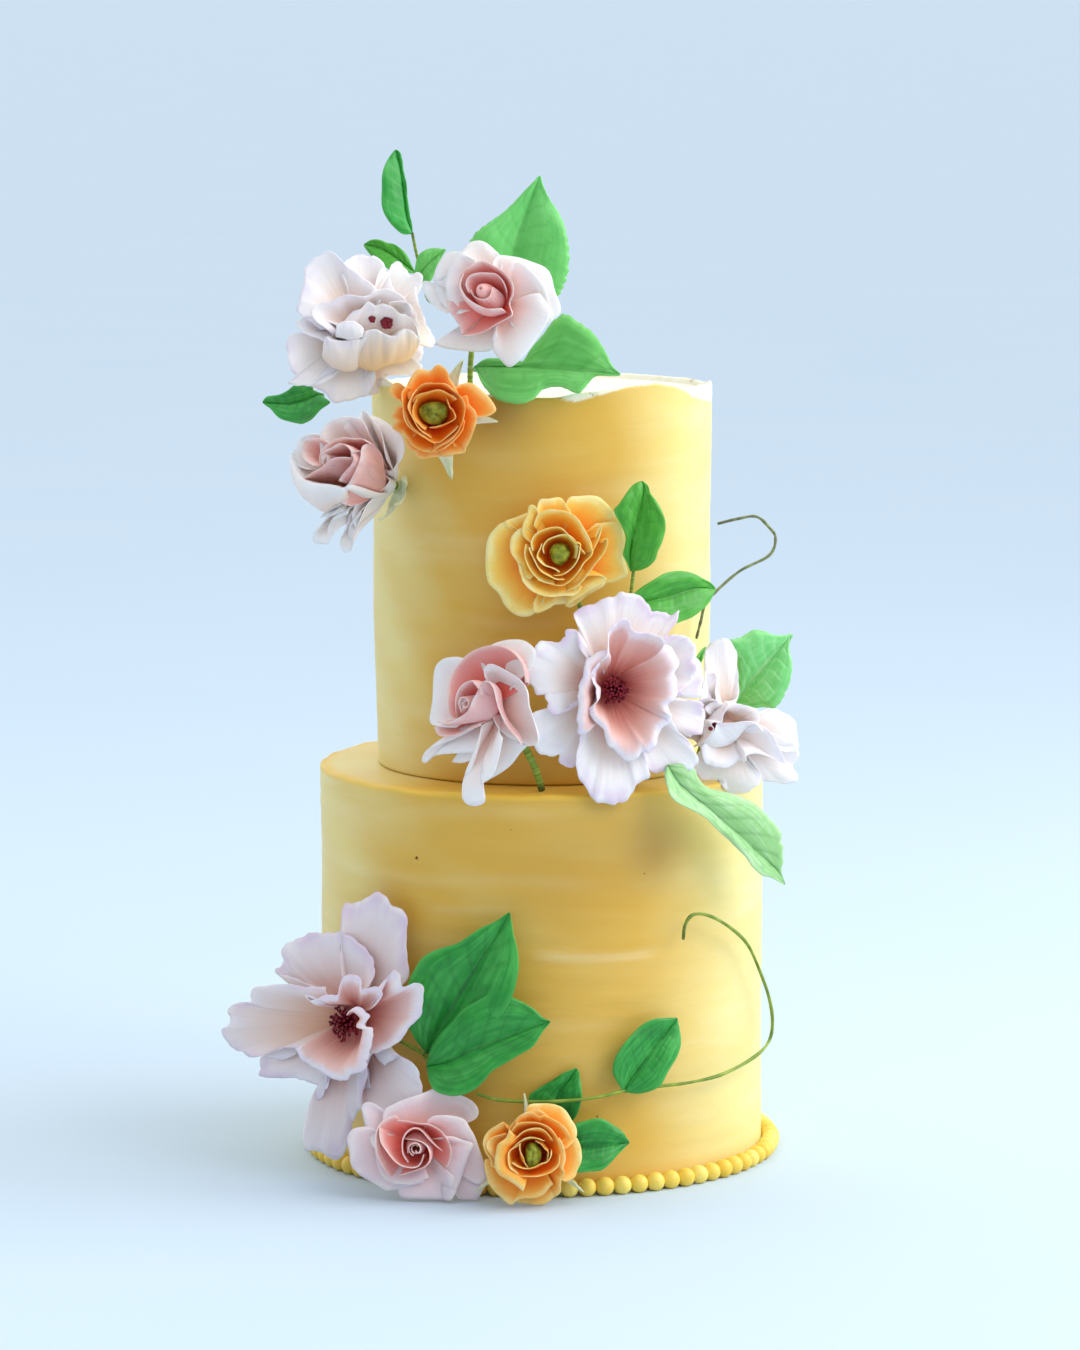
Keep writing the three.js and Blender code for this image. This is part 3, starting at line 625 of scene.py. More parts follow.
def spread_petal(
    turn,
    reach,
    width,
    lean,
    base=3.0,
    rise=0.0,
    cup=0.35,
    ruffle=0.0,
    frill=0.0,
    notches=0.0,
    shingle=0.0,
    roll=0.0,
    point=0.0,
    shoulder=0.42,
    neck=0.3,
    outline=None,
    seed=0,
    rows=22,
    columns=26,
):
    """A petal that opens outward. reach is how far out its margin lies, roll turns its sides back, point draws
    out its tip, ruffle and frill are broad and fine waves of the margin, notches cut the margin."""
    length = (reach - base) / middle_line(lean, 1, 1)[0]
    u = np.linspace(-1, 1, columns)[None, :]
    v = np.linspace(0, 1, rows)[:, None]
    margin = 1 - shoulder * np.abs(u) ** 2.6 + point * np.exp(-((u / 0.22) ** 2))
    margin = margin + notches * waves(seed + 5, u, count=5, low=5, high=15)
    margin = margin / max(1.0, float(margin.max()))
    along = v * margin
    if outline is None:
        spread = neck + (1 - neck) * np.sin(np.pi / 2 * np.clip(along / 0.72, 0, 1)) ** 0.9
        spread = spread * (1 - 0.1 * smooth((along - 0.72) / 0.28))
    else:
        spread = np.interp(along, np.linspace(0, 1, len(outline)), outline)
    out, up, angle = middle_line(lean, length, along)
    offset = width / 2 * spread * u
    bend = cup * u * spread
    side = offset * np.sinc(bend / np.pi)
    lift = offset * bend / 2
    lift = lift + ruffle * along**1.8 * waves(seed + 1, 2.2 * u, 1.2 * along, count=3, low=1.2, high=2.6)
    lift = lift + frill * along**5 * waves(seed + 2, u, 0.3 * along, count=4, low=7, high=15)
    lift = lift + shingle * u * along - roll * np.abs(u) ** 2.5 * along**1.5
    radial = base + out - lift * np.cos(angle)
    height = rise + up + lift * np.sin(angle)
    turn = math.radians(turn)
    grid = np.stack(
        [
            radial * math.cos(turn) - side * math.sin(turn),
            radial * math.sin(turn) + side * math.cos(turn),
            height,
        ],
        -1,
    )
    edge = np.maximum(v * np.ones_like(u), np.abs(u) ** 6 * np.ones_like(v) * smooth(v / 0.4))
    return grid, {"along": along, "across": u, "rim": 0.55 * along + 0.45 * edge, "seed": seed * 1.7}


def wrapped_petal(
    turn, span, foot, belly, rim, height, rise=2.0, spiral=1.0, lip=0.0, dip=0.22, wobble=0.3, seed=0, rows=16, columns=26
):
    """A petal that wraps round the axis. foot, belly and rim are its radii from bottom to top, spiral puts one
    side inside its neighbour and the other outside, lip rolls its margin outward, dip rounds its corners."""
    u = np.linspace(-1, 1, columns)[None, :]
    v = np.linspace(0, 1, rows)[:, None]
    margin = 1 - dip * np.abs(u) ** 2.4 + 0.03 * waves(seed, u, count=3, low=1.5, high=4)
    along = v * margin
    angle = math.radians(turn) + math.radians(span) / 2 * u
    radial = (1 - along) ** 2 * foot + 2 * along * (1 - along) * belly + along**2 * rim
    radial = radial + spiral * u * (0.4 + 0.6 * along) + wobble * along * waves(seed + 3, 2 * u, along, count=3)
    near_rim = np.clip((v - 0.72) / 0.28, 0, 1) * np.ones_like(u)
    radial = radial + lip * near_rim**1.6
    level = rise + height * along - 0.55 * lip * near_rim**3
    grid = np.stack([radial * np.cos(angle), radial * np.sin(angle), level], -1)
    edge = np.maximum(v * np.ones_like(u), np.abs(u) ** 8 * np.ones_like(v))
    return grid, {"along": along, "across": u * span / 120, "rim": 0.6 * along + 0.4 * edge, "seed": seed * 1.7}


def spiral_strip(turns, start, inner, outer, height, rise=2.0, seed=0, rows=12, columns=70):
    """A tight spiral: inner and outer are its rim radii at the middle and at the end."""
    u = np.linspace(0, 1, columns)[None, :]
    v = np.linspace(0, 1, rows)[:, None]
    angle = math.radians(start) + 2 * math.pi * turns * u
    rim = inner + (outer - inner) * u
    radial = (1 - v) ** 2 * (rim * 0.7 + 0.6) + 2 * v * (1 - v) * (rim + 2.2) + v**2 * rim
    radial = radial + 0.8 * np.clip((v - 0.8) / 0.2, 0, 1) ** 2
    level = rise + height * v * (1 - 0.05 * np.sin(3 * angle) ** 2 - 0.05 * u)
    grid = np.stack([radial * np.cos(angle), radial * np.sin(angle), level], -1)
    fields = {"along": v * np.ones_like(u), "across": 3 * u, "rim": 0.25 + 0.75 * v * np.ones_like(u), "seed": seed}
    return grid, fields


def add_petal(piece, made, where, thickness=PETAL_THICKNESS, tint=0.0):
    grid, fields = made
    grid = clear(where.world(grid), thickness / 2 + 0.5)
    piece.sheet(grid, thickness, tint=tint, **fields)


def gaps(petals):
    """The mean angle from each petal to its two neighbours, in radians."""
    turns = np.array([petal[0] for petal in petals], float)
    following = (np.roll(turns, -1) - turns) % 360
    return np.radians((following + np.roll(following, 1)) / 2)


def evenly(count, start, reach):
    return [(start + 360 * i / count, reach) for i in range(count)]


def add_ring(piece, where, petals, breadth, seed, **shape):
    """A ring of petals, each [turn, reach]. breadth is their width as a share of the gap they fill."""
    for i, ((turn, reach), gap) in enumerate(zip(petals, gaps(petals))):
        width = breadth * 2 * reach * math.sin(gap / 2)
        add_petal(piece, spread_petal(turn, reach, width, seed=seed + 11 * i, **shape), where)


def traced_petal(
    rim,
    lean,
    lip=0.5,
    core=(0, 0),
    foot=3.0,
    low=1.5,
    pull=(0.45, 0.4),
    ruffle=0.3,
    frill=0.0,
    notch=0.0,
    pleat=0.0,
    seed=0,
    rows=17,
    columns=36,
    hem=None,
    swell=0.25,
):
    """A petal hung between the flower's foot and a rim given point by point. lean is how far it leans out from
    the axis at its foot and at its rim, lip rolls the rim outward, core is where the axis is CORE_HEIGHT up.
    frill waves the rim, notch nicks it and pleat creases the petal lengthwise, all in mm. A petal that turns back
    at the rim hangs outside it down to its hem; swell says how round its back is."""
    rim = curve(rim, columns)
    away = rim[:, :2] - np.array(core, float) * rim[:, 2:] / CORE_HEIGHT
    angle = np.unwrap(np.arctan2(away[:, 1], away[:, 0]))
    out = np.stack([np.cos(angle), np.sin(angle), np.zeros(columns)], -1)
    start = out * foot + [0, 0, low]
    length = np.linalg.norm(rim - start, axis=-1, keepdims=True)
    first, last = (math.radians(side) for side in lean)
    up = np.array([0.0, 0.0, 1.0])
    second = start + pull[0] * length * (out * math.sin(first) + up * math.cos(first))
    third = rim - pull[1] * length * (out * math.sin(last) + up * math.cos(last))
    u = np.linspace(-1, 1, columns)[None, :]
    v = np.linspace(0, 1, rows)[:, None] ** 0.9
    arc = np.concatenate([[0], np.cumsum(np.linalg.norm(np.diff(rim, axis=0), axis=-1))])[None, :]
    nick = notch * np.maximum(waves(seed + 5, arc, count=4, low=0.2, high=1.3), -0.2) / length.T
    t = (v * (1 - nick * v**3))[..., None]
    grid = (1 - t) ** 3 * start + 3 * t * (1 - t) ** 2 * second + 3 * t**2 * (1 - t) * third + t**3 * rim
    wave = ruffle * v**2 * waves(seed + 1, 2.4 * u, 1.3 * v, count=3)
    calm = 0.55 + 0.45 * waves(seed + 6, 0.09 * arc, count=3)
    wave = wave + frill * v**4 * calm * waves(seed + 2, arc, 0.6 * v, count=4, low=0.2, high=0.85)
    wave = wave + pleat * v * (1.3 - v) * waves(seed + 4, 0.16 * arc, 0.1 * v, count=5, low=3.5, high=11)
    rolled = lip * smooth((v - 0.8) / 0.2) ** 1.5 * (0.55 + 0.45 * waves(seed + 3, 1.5 * u, count=2))
    grid = grid + (wave + rolled)[..., None] * (out * math.cos(last) - up * math.sin(last))
    normal = np.cross(np.gradient(grid, axis=0), np.gradient(grid, axis=1))
    flipped = np.sum(normal * (up - out)) < 0
    if hem is not None:
        top, foot_line = grid[-1], curve(hem, columns)
        drop = np.linalg.norm(foot_line - top, axis=-1, keepdims=True)
        shoulder = (top + foot_line) / 2 + swell * drop * (0.8 * out + up)
        s = np.linspace(0, 1, 23)[1:, None, None]
        back = (1 - s) ** 2 * top + 2 * s * (1 - s) * shoulder + s**2 * foot_line
        crease = waves(seed + 8, 0.35 * arc, 1.5 * s[:, :, 0], count=5)
        grid = np.vstack([grid, back + (0.8 * s * (1 - s) * crease[..., None]) * (out + up)])
        v = np.vstack([v, 1 - 0.6 * s[:, :, 0]])
    if flipped:
        grid, u = grid[:, ::-1], u[:, ::-1]
    edge = np.maximum(v * np.ones_like(u), np.abs(u) ** 8 * np.ones_like(v) * smooth(v / 0.5))
    return grid, {"along": v * np.ones_like(u), "across": u, "rim": 0.6 * v + 0.4 * edge, "seed": seed * 1.7}


def add_traced(piece, where, petals, seed, thickness=PETAL_THICKNESS, **shape):
    """Petals traced one by one: each (what it is, leans, lip, rim in the window, heights of the rim) and
    perhaps its own settings, such as tint (how much painted warm glow it gets towards its foot) and the centre that it
    closes round."""
    for i, (_, lean, lip, spots, heights, *own) in enumerate(petals):
        settings = {**shape, **(own[0] if own else {})}
        tint = settings.pop("tint", 0.0)
        if "centre" in settings:
            settings["core"] = where.centre(*settings.pop("centre"))
        if "hem" in settings:
            settings["hem"] = where.seen(*settings["hem"])
        grid, fields = traced_petal(where.seen(spots, heights), lean, lip, seed=seed + 9 * i, **settings)
        # Painted light: a warm glow, strongest at the petal's foot.
        painted_glow = tint * (1 - fields["along"]) ** 0.6
        add_petal(piece, (grid, fields), where, thickness, painted_glow)


def traced_rose(name, where, centre, heart_height, heart_petals, skirt_petals, outer, knobbed=False, seed=0):
    heart = Piece()
    core = where.centre(*centre)
    if knobbed:
        profile = [(0, 3), (3.4, 4), (4.6, 8), (4.2, 11.5), (2.9, 14.4), (1.5, 16.4), (0.9, 16.6), (0.5, 15.4), (0, 14.6)]
        grid, _ = rings([(radius, z * heart_height / CORE_HEIGHT) for radius, z in profile], 28)
        fields = {"rim": 0.85, "inner": 1.0, "along": 0.5}
    else:
        grid, fields = spiral_strip(1.6, 40, 0.7, 2.6, heart_height * 0.8, rise=heart_height * 0.14, seed=seed)
    grid[..., :2] += core / CORE_HEIGHT * grid[..., 2:]
    if knobbed:
        heart.turned(grid, where, **fields)
    else:
        add_petal(heart, (grid, fields), where, 0.6)
    add_traced(heart, where, heart_petals, seed, 0.7, core=core, low=3.0)
    heart.build(f"{name}_heart", ROSE, "rose_petal")
    skirt = Piece()
    add_traced(skirt, where, skirt_petals, seed + 300, core=core, foot=2.6, low=0.6, ruffle=0.7)
    skirt.build(f"{name}_skirt", outer, "rose_petal", name)


def traced_peony(name, where, centre, cup_petals, skirt_petals, cup_look, skirt_look, seed=0, frilly=1.0):
    middle = Piece()
    core = where.centre(*centre)
    knob(middle, where, 6, 4.5, rim=0.0, inner=1.0)
    fine = {"ruffle": 0.9, "frill": frilly, "notch": 0.9 * frilly, "pleat": 0.22 * frilly, "rows": 22, "columns": 64}
    add_traced(middle, where, cup_petals, seed, PEONY_THICKNESS, core=core, low=2.0, foot=4.0, **fine)
    middle.build(f"{name}_cup", cup_look, "peony_petal", name)
    skirt = Piece()
    fine = {**fine, "ruffle": 1.4, "frill": 1.3 * frilly, "notch": 1.3 * frilly}
    add_traced(skirt, where, skirt_petals, seed + 300, PEONY_THICKNESS, core=core, low=0.8, foot=3.0, **fine)
    skirt.build(f"{name}_skirt", skirt_look, "peony_petal")


def stamen_spots(name, where, spots, seed=0):
    """Dark anthers that peep out between closed petals, in spots of (x, y, height, radius)."""
    piece = Piece()
    rng = np.random.default_rng(seed)
    for x, y, height, radius in spots:
        middle = where.seen([(x, y)], [height])[0]
        for i in range(int(9 * radius**1.4)):
            turn, reach = i * 2.39996, radius * math.sqrt(i / (9 * radius**1.4))
            anther, _ = rings([(0, -2.4), (0.3, -2.2), (0.65, -0.6), (0.85, 0.1), (0.6, 0.7), (0, 0.95)], 8)
            tip = middle + (reach * math.cos(turn), reach * math.sin(turn), rng.uniform(-0.5, 0.4))
            stalk = curve([(0, 0, 4.6), (*(0.6 * tip[:2]), 0.55 * tip[2]), tip - [0, 0, 2]], 7)
            piece.tube(where.world(stalk), 0.25, 5)
            piece.turned(anther + tip, where, tint=rng.uniform(0, 0.7))
    piece.build(f"{name}_tuft", STAMEN, "stamens", f"{name}_stamens")


def traced_ranunculus(name, where, centre, petals, eye_radius, eye_height, eye_top, look=RANUNCULUS, seed=0):
    """eye_radius is the half-width of the green centre, eye_height its stretch upwards in the flower's plane."""
    piece = Piece()
    core = where.centre(*centre)
    knob(piece, where, 5, 4, rim=0.1, inner=1.0)
    add_traced(piece, where, petals, seed, 0.7, core=core, low=2.0, foot=4.0)
    piece.build(f"{name}_petals", look, "ranunculus_petal", name)
    eye = Piece()
    rise = eye_top - 4.4
    profile = [(0, 0), (0.4, 0), (0.87, 0.22), (1, 0.46), (0.92, 0.7), (0.68, 0.88), (0.42, 0.96), (0.2, 1), (0, 0.98)]
    grid, turn = rings([(radius * eye_radius, 4.4 + rise * z) for radius, z in profile], 48)
    height = grid[..., 2]
    crease = 1 - 0.14 * np.abs(np.sin(1.5 * turn + 0.3 * height)) ** 0.6
    grid[..., 0] *= crease
    grid[..., 1] *= crease * eye_height
    grid[..., :2] += core / CORE_HEIGHT * grid[..., 2:]
    grid[..., 2] += 0.5 * np.sin(3 * turn + 0.9 * height) * smooth((height - 5.4) / 3)
    # A painted highlight: the top of the green eye is painted lighter.
    eye.turned(grid, where, tint=smooth((height - 4.4 - 0.7 * rise) / 2) * 0.25)
    eye.build(f"{name}_centre", EYE, "green_eye", f"{name}_eye")


# Flowers


def knob(piece, where, radius, height, **fields):
    profile = [
        (0, -1.5),
        (radius * 0.6, -1.2),
        (radius * 0.95, 0.1 * height),
        (radius, 0.35 * height),
        (radius * 0.86, 0.65 * height),
        (radius * 0.5, 0.9 * height),
        (0, height),
    ]
    grid, _ = rings(profile, 20)
    piece.turned(grid, where, **fields)


def rose(name, where, size, outer, layers, bud, outer_shape=None, extra=(), seed=0):
    """A rose. layers are rings of wrapped petals, each (count, start, span, rim radius, height, lip)."""
    heart = Piece()
    knob(heart, where, 4.5, 8 * size, rim=0.2, inner=1.0)
    if bud == "spiral":
        add_petal(heart, spiral_strip(2.6, 40, 0.9, 4.6 * size, 14.5 * size, seed=seed), where, 0.6)
    else:
        grid, _ = rings([(0, 4), (2.6, 5), (3.1, 9), (2.6, 12.5), (1.5, 15), (0.5, 16.2), (0, 15.6)], 18)
        grid[..., :2] *= size
        grid[..., 2] *= size
        heart.turned(grid, where, rim=0.72, inner=1.0, along=0.5)
    for ring, (count, start, span, rim, height, lip) in enumerate(layers):
        for i in range(count):
            made = wrapped_petal(
                start + 360 * i / count,
                span,
                3.5 + 1.2 * ring,
                rim * size * 0.86 + 3.2,
                rim * size,
                height * size,
                spiral=0.9,
                lip=lip,
                seed=seed + 31 * ring + 7 * i,
            )
            add_petal(heart, made, where, 0.7)
    heart.build(f"{name}_heart", ROSE, "rose_petal")
    skirt = Piece()
    shape = dict(lean=(84, 46, 62, 112), base=2.6, cup=0.3, ruffle=0.8, shingle=2.2, roll=1.6, point=0.1, shoulder=0.3)
    shape.update(outer_shape or {})
    add_ring(skirt, where, outer, 1.22, seed + 400, **shape)
    for made in extra:
        add_petal(skirt, made, where)
    skirt.build(f"{name}_skirt", OUTER_ROSE, "rose_petal", name)


def ranunculus(name, where, size, outer, outer_shape=None, rings_of=None, seed=0):
    piece = Piece()
    knob(piece, where, 5, 4, rim=0.1, inner=1.0)
    layers = rings_of or (
        (4, 15, 128, 7.4, 14.0, 14.0, 0.5),
        (4, 60, 126, 10.0, 16.5, 13.4, 0.6),
        (5, 10, 108, 12.8, 19.0, 12.6, 0.7),
        (5, 50, 104, 15.6, 21.5, 11.4, 0.9),
    )
    for ring, (count, start, span, rim, belly, height, lip) in enumerate(layers):
        for i in range(count):
            made = wrapped_petal(
                start + 360 * i / count,
                span,
                3 + 1.6 * ring,
                belly * size,
                rim * size,
                height * size,
                spiral=1.1,
                lip=lip,
                dip=0.16,
                seed=seed + 41 * ring + 5 * i,
            )
            add_petal(piece, made, where, 0.7)
    shape = dict(lean=(90, 70, 26), base=3, cup=0.55, ruffle=0.7, shingle=1.8, notches=0.02, shoulder=0.3)
    shape.update(outer_shape or {})
    add_ring(piece, where, outer, 1.3, seed + 300, **shape)
    piece.build(f"{name}_petals", RANUNCULUS, "ranunculus_petal", name)

    eye = Piece()
    foot = 4.4
    profile = [(0, foot), (2, foot), (4.6, foot + 1.6), (5.3, foot + 3.2), (4.9, foot + 4.8), (3.6, foot + 6)]
    profile += [(2.2, foot + 6.5), (1, foot + 6.7), (0, foot + 6.6)]
    grid, turn = rings([(radius * size, height) for radius, height in profile], 48)
    height = grid[..., 2]
    crease = 1 - 0.16 * np.abs(np.sin(2.5 * turn + 0.45 * height)) ** 0.6
    grid[..., 0] *= crease
    grid[..., 1] *= crease
    grid[..., 2] += 0.5 * np.sin(5 * turn + 0.9 * height) * smooth((height - foot - 1) / 3)
    # A painted highlight: the top of the green eye is painted lighter.
    eye.turned(grid, where, tint=smooth((height - foot - 4.5) / 2) * 0.5)
    eye.build(f"{name}_centre", EYE, "green_eye", f"{name}_eye")


def peony(name, where, cup, outer, second=None, cup_shape=None, outer_shape=None, open_cup=True, seed=0):
    piece = Piece()
    shape = dict(
        lean=(84, 66, 78), cup=0.25, ruffle=2.4, frill=1.1, notches=0.03, shingle=2.6, shoulder=0.34, rows=28, columns=40
    )
    shape.update(outer_shape or {})
    add_ring(piece, where, outer, 1.12, seed, **shape)
    if second:
        behind = dict(lean=(80, 52, 60), cup=0.3, rise=1.5, ruffle=2.0, frill=0.9, notches=0.03, shingle=2.2)
        add_ring(piece, where, second, 1.15, seed + 150, **{**behind, "rows": 24, "columns": 34})
    piece.build(f"{name}_skirt", PEONY, "peony_petal")

    middle = Piece()
    knob(middle, where, 6, 4.5, rim=0.0, inner=1.0)
    shape = dict(
        lean=(70, 22, 14, 96), rise=1, cup=0.75, ruffle=1.2, frill=0.9, notches=0.03, shingle=2.0, shoulder=0.3, rows=26
    )
    shape.update(cup_shape or {})
    add_ring(middle, where, cup, 1.25, seed + 77, **{**shape, "columns": 34})
    middle.build(f"{name}_cup", CUP if open_cup else PEONY, "peony_petal", name)


def stamens(name, where, count=46, spread=6.4, tilt=0.0, seed=0):
    """A tuft of dark filaments with a small anther on each."""
    piece = Piece()
    rng = np.random.default_rng(seed)
    knob(piece, where, 3, 5.6)
    for i in range(count):
        share = math.sqrt((i + 0.5) / count)
        turn = i * 2.39996 + rng.uniform(-0.25, 0.25)
        reach = spread * share * rng.uniform(0.85, 1.1)
        tip = 14.2 - 5.5 * share**2 + rng.uniform(-0.8, 0.6)
        direction = np.array([math.cos(turn), math.sin(turn)])
        foot = direction * 2.2 * share
        path = curve(
            [
                (foot[0], foot[1], 4.6),
                (*(direction * reach * 0.45 + [tilt * 0.4, 0]), 4.6 + (tip - 4.6) * 0.6),
                (*(direction * reach + [tilt, 0]), tip),
            ],
            7,
        )
        piece.tube(where.world(path), 0.3, 5)
        anther, _ = rings([(0, -0.8), (0.55, -0.5), (0.75, 0.1), (0.5, 0.7), (0, 0.9)], 7)
        piece.turned(anther + path[-1], where, tint=rng.uniform(0, 0.6))
    piece.build(f"{name}_tuft", STAMEN, "stamens", f"{name}_stamens")


def calyx(name, where, cone, depth, blades):
    """The sepals under a flower, each blade (turn, length, lean, width)."""
    piece = Piece()
    profile = [(0, -depth - 5), (1.3, -depth - 4.8), (1.7, -depth - 3.6), (cone * 0.8, -depth - 1.4), (cone, -depth)]
    grid, _ = rings(profile + [(cone * 0.6, -depth + 0.3), (0, -depth + 0.4)], 16)
    piece.turned(grid, where)
    for i, (turn, length, lean, width) in enumerate(blades):
        out = middle_line(lean, 1, 1)[0]
        made = spread_petal(
            turn,
            cone * 0.5 + length * out,
            width,
            lean,
            base=cone * 0.5,
            rise=-depth - 1.4,
            cup=0.5,
            ruffle=0.5,
            shoulder=0.1,
            outline=(0.6, 0.95, 1.0, 0.72, 0.4, 0.22, 0.1),
            seed=900 + i,
            rows=20,
            columns=8,
        )
        add_petal(piece, made, where, 0.7, tint=0.4)
    piece.build(f"{name}_sepals", CALYX, "calyx", f"{name}_calyx")


# Leaves and stems


# LEAVES MAKER
def even(points, steps):
    """Points at even distances along a smooth curve through the given ones."""
    fine = curve(points, 12 * steps)
    run = np.concatenate([[0], np.cumsum(np.linalg.norm(np.diff(fine, axis=0), axis=-1))])
    places = np.linspace(0, run[-1], steps)
    return np.stack([np.interp(places, run, fine[:, i]) for i in range(2)], -1)


def add_leaf(
    name,
    start,
    end,
    face,
    window,
    left,
    midrib,
    right,
    arch=2.0,
    fold=(14, 14),
    look=LEAF,
    teeth=0,
    tooth=0.0,
    wave=0.6,
    veins=7,
    vein_colour=0.55,
    seed=0,
):
    """A leaf from its stalk to its tip, in the plane through start and end that faces the way of face. window is
    the corner and the enlargement of the window where its rims and its midrib are read, left and right being
    those of somebody who walks to the tip. arch is how far its middle stands out and fold how steep its halves
    rise, in degrees."""
    rows, columns = (120 if teeth else 60), 25
    chord = unit(np.subtract(end, start))
    out = unit(face - chord * np.dot(face, chord))
    where = Frame(start, math.degrees(math.atan2(out[0], -out[1])), math.degrees(math.asin(out[2])), *window)
    spine = even(midrib, rows)
    ahead = unit(np.gradient(spine, axis=0))
    margin = MARGIN / PIXEL * where.enlarged * np.stack([-ahead[:, 1], ahead[:, 0]], -1)
    along = np.linspace(0, 1, rows)[:, None]
    u = np.linspace(1, -1, columns)[None, :]
    onto_right = (even(right, rows) - spine + margin)[:, None]
    onto_left = (even(left, rows) - spine - margin)[:, None]
    reach = np.where(u[..., None] > 0, onto_right, onto_left)
    half = np.linalg.norm(reach, axis=-1) / where.enlarged * PIXEL
    rim = np.abs(u) * np.ones_like(along)
    share = rim * (1 + 0.03 * waves(seed + 8, 5 * along, u, count=3))
    if teeth:
        side_seed = np.where(u < 0, 0.0, 2.1)
        count = along * teeth + side_seed + 0.35 * waves(seed + 20, 7 * along, side_seed, count=3)
        saw = count % 1.0
        saw = np.minimum(saw, (1 - saw) * 3.5)
        deep = tooth * (0.75 + 0.35 * waves(seed + 21, 16 * along, 3 * side_seed, count=3))
        share = share * (1 + smooth((rim - 0.82) / 0.18) * deep * (saw - 0.4))
    slope = (along - 0.34 * rim * (1 - 0.5 * along)) * veins + 0.25 * waves(seed + 30, 3 * u, count=2) * (u > 0)
    beside = np.abs(slope - np.round(slope)) / veins * 2.2
    lateral = np.exp(-((beside / 0.03) ** 2)) * (1 - smooth((rim - 0.55) / 0.4)) * smooth(along / 0.1)
    line = np.exp(-((rim * half / 0.55) ** 2)) * (1 - 0.5 * along)
    rise = np.sin(np.radians(np.where(u > 0, fold[1], fold[0])))
    lift = 4 * arch * along * (1 - along) + half * (rim * rise + 0.1 * np.sin(np.pi * rim))
    lift = lift + wave * rim**1.5 * waves(seed, 6 * along, 2 * u, count=3)
    lift = lift - 0.45 * line - 0.22 * lateral + 0.1 * np.cos(2 * np.pi * slope + 1.5) * (1 - rim) * smooth(rim * 5)
    spots = spine[:, None] + reach * share[..., None]
    grid = where.seen(spots.reshape(-1, 2), lift.ravel()).reshape(rows, columns, 3)
    grid = clear(where.world(grid), LEAF_THICKNESS / 2 + 0.5)
    tint = np.clip(vein_colour * (0.9 * line + 0.55 * lateral), 0, 1)
    piece = Piece()
    piece.sheet(grid, LEAF_THICKNESS, along=along, across=u, rim=rim, seed=seed * 3.1, tint=tint)
    piece.build(f"{name}_blade", look, "leaf", name)


# END MAKER
def add_stem(name, points, diameter, look=STEM, ends=(0.6, 0.0), swell=0.06, steps=60, seed=0):
    """A taped wire. ends are how dark it is at its first and last points."""
    path = curve(points, steps)
    share = np.linspace(0, 1, steps)
    radius = diameter / 2 * (1 + swell * waves(seed, 30 * share, count=4))
    sides = 10
    dark = np.maximum(ends[0] * (1 - smooth(share / 0.25)), ends[1] * smooth((share - 0.8) / 0.2))
    tint = np.concatenate([np.repeat(dark, sides), dark[[0, -1]]])
    piece = Piece()
    piece.tube(path, radius, sides, tint=tint, seed=seed, across=0.0)
    piece.build(f"{name}_wire", look, "stem", name)


def add_stalks(name, stalks, tint=0.0, steps=24):
    """Short stalks behind the petals that hold flowers and leaves to each other or to the cake, each as its points
    and its widths from the first to the last."""
    piece = Piece()
    for points, widths in stalks:
        radius = np.interp(np.linspace(0, 1, steps), np.linspace(0, 1, len(widths)), widths) / 2
        piece.tube(curve(points, steps), radius, 14, tint=tint)
    piece.build(f"{name}_stalks", STEM, "stem")


# The cake itself

SIDES = 300
# Where the torn lip's cream meets the yellow, in mm from the top, at each of RIM_DEGREES: the cream is the icing's own,
# but it reaches lowest on the right (about -20 to 10 degrees), a painted highlight where the light from the right
# falls.
RIM_DEGREES = (-180, -150, -128, -112, -98, -90, -84, -80, -74, -67, -61, -49, -40, -35, -30, -20, -8, 10, 40, 80, 120, 150, 180)
CREAM_LINE_AND_PAINTED_HIGHLIGHT = (-1, 1.5, -1, 1, -1.5, 0, -0.6, -2.8, -0.7, 1.6, 4, 4.4, 3.7, 0, -2.7, -6, -8, -5, 1, -2, 1.5, -2, -1)


def lip_height(turn):
    """How far the torn lip stands above the upper tier's height."""
    height = 1 + 2 * np.sin(3 * turn + 4.3) + np.sin(7 * turn + 2.1) + 0.6 * np.sin(13 * turn)
    behind = smooth(3 * np.sin(turn) - 0.2)
    return height * (1 - behind) - 1.3 * behind + 0.3 * waves(71, 40 * np.cos(turn), 40 * np.sin(turn), count=5, low=0.6, high=1.4)


def painted_sheen_and_patches(turn, height):
    """How pale the icing is, as painted light: least in front of the middle, a painted shade, and most round the sides
    and back, a painted sheen, with uneven patches.
    """
    sideways = np.cos(turn)
    share = np.where(sideways > 0, smooth((sideways - 0.3) / 0.7), 0.85 * smooth((-sideways - 0.45) / 0.6))
    behind = smooth((np.sin(turn) + 0.1) / 0.6)
    share = share + behind * (0.6 - share) * 0.7
    return np.clip(share + 0.12 * waves(81, 3 * np.cos(turn), 3 * np.sin(turn), height / 30, count=5), 0, 1)


def strokes(turn, height, marks):
    """Level brush strokes: each (middle, half-width, height, half-thickness, strength), angles in degrees."""
    total = np.zeros(np.broadcast(turn, height).shape)
    for middle, half, level, thickness, strength in marks:
        away = (np.degrees(turn) - middle + 180) % 360 - 180
        drift = 1.2 * np.sin(away / 9 + level)
        body = np.exp(-(((height - level - drift) / thickness) ** 2))
        ends = 1 - smooth((np.abs(away) - half * 0.6) / (half * 0.5))
        total = np.maximum(total, strength * body * ends)
    return total


def painted_shadow_patches(turn, height, patches):
    """Soft painted shadows where flowers and leaves shade the icing: each (middle, half-width, height, half-height,
    strength), angles in degrees.
    """
    total = 0.0
    for middle, half, level, reach, strength in patches:
        away = (np.degrees(turn) - middle + 180) % 360 - 180
        total = total + strength * np.exp(-((away / half) ** 2) - ((height - level) / reach) ** 2)
    return np.clip(total, 0, 1)


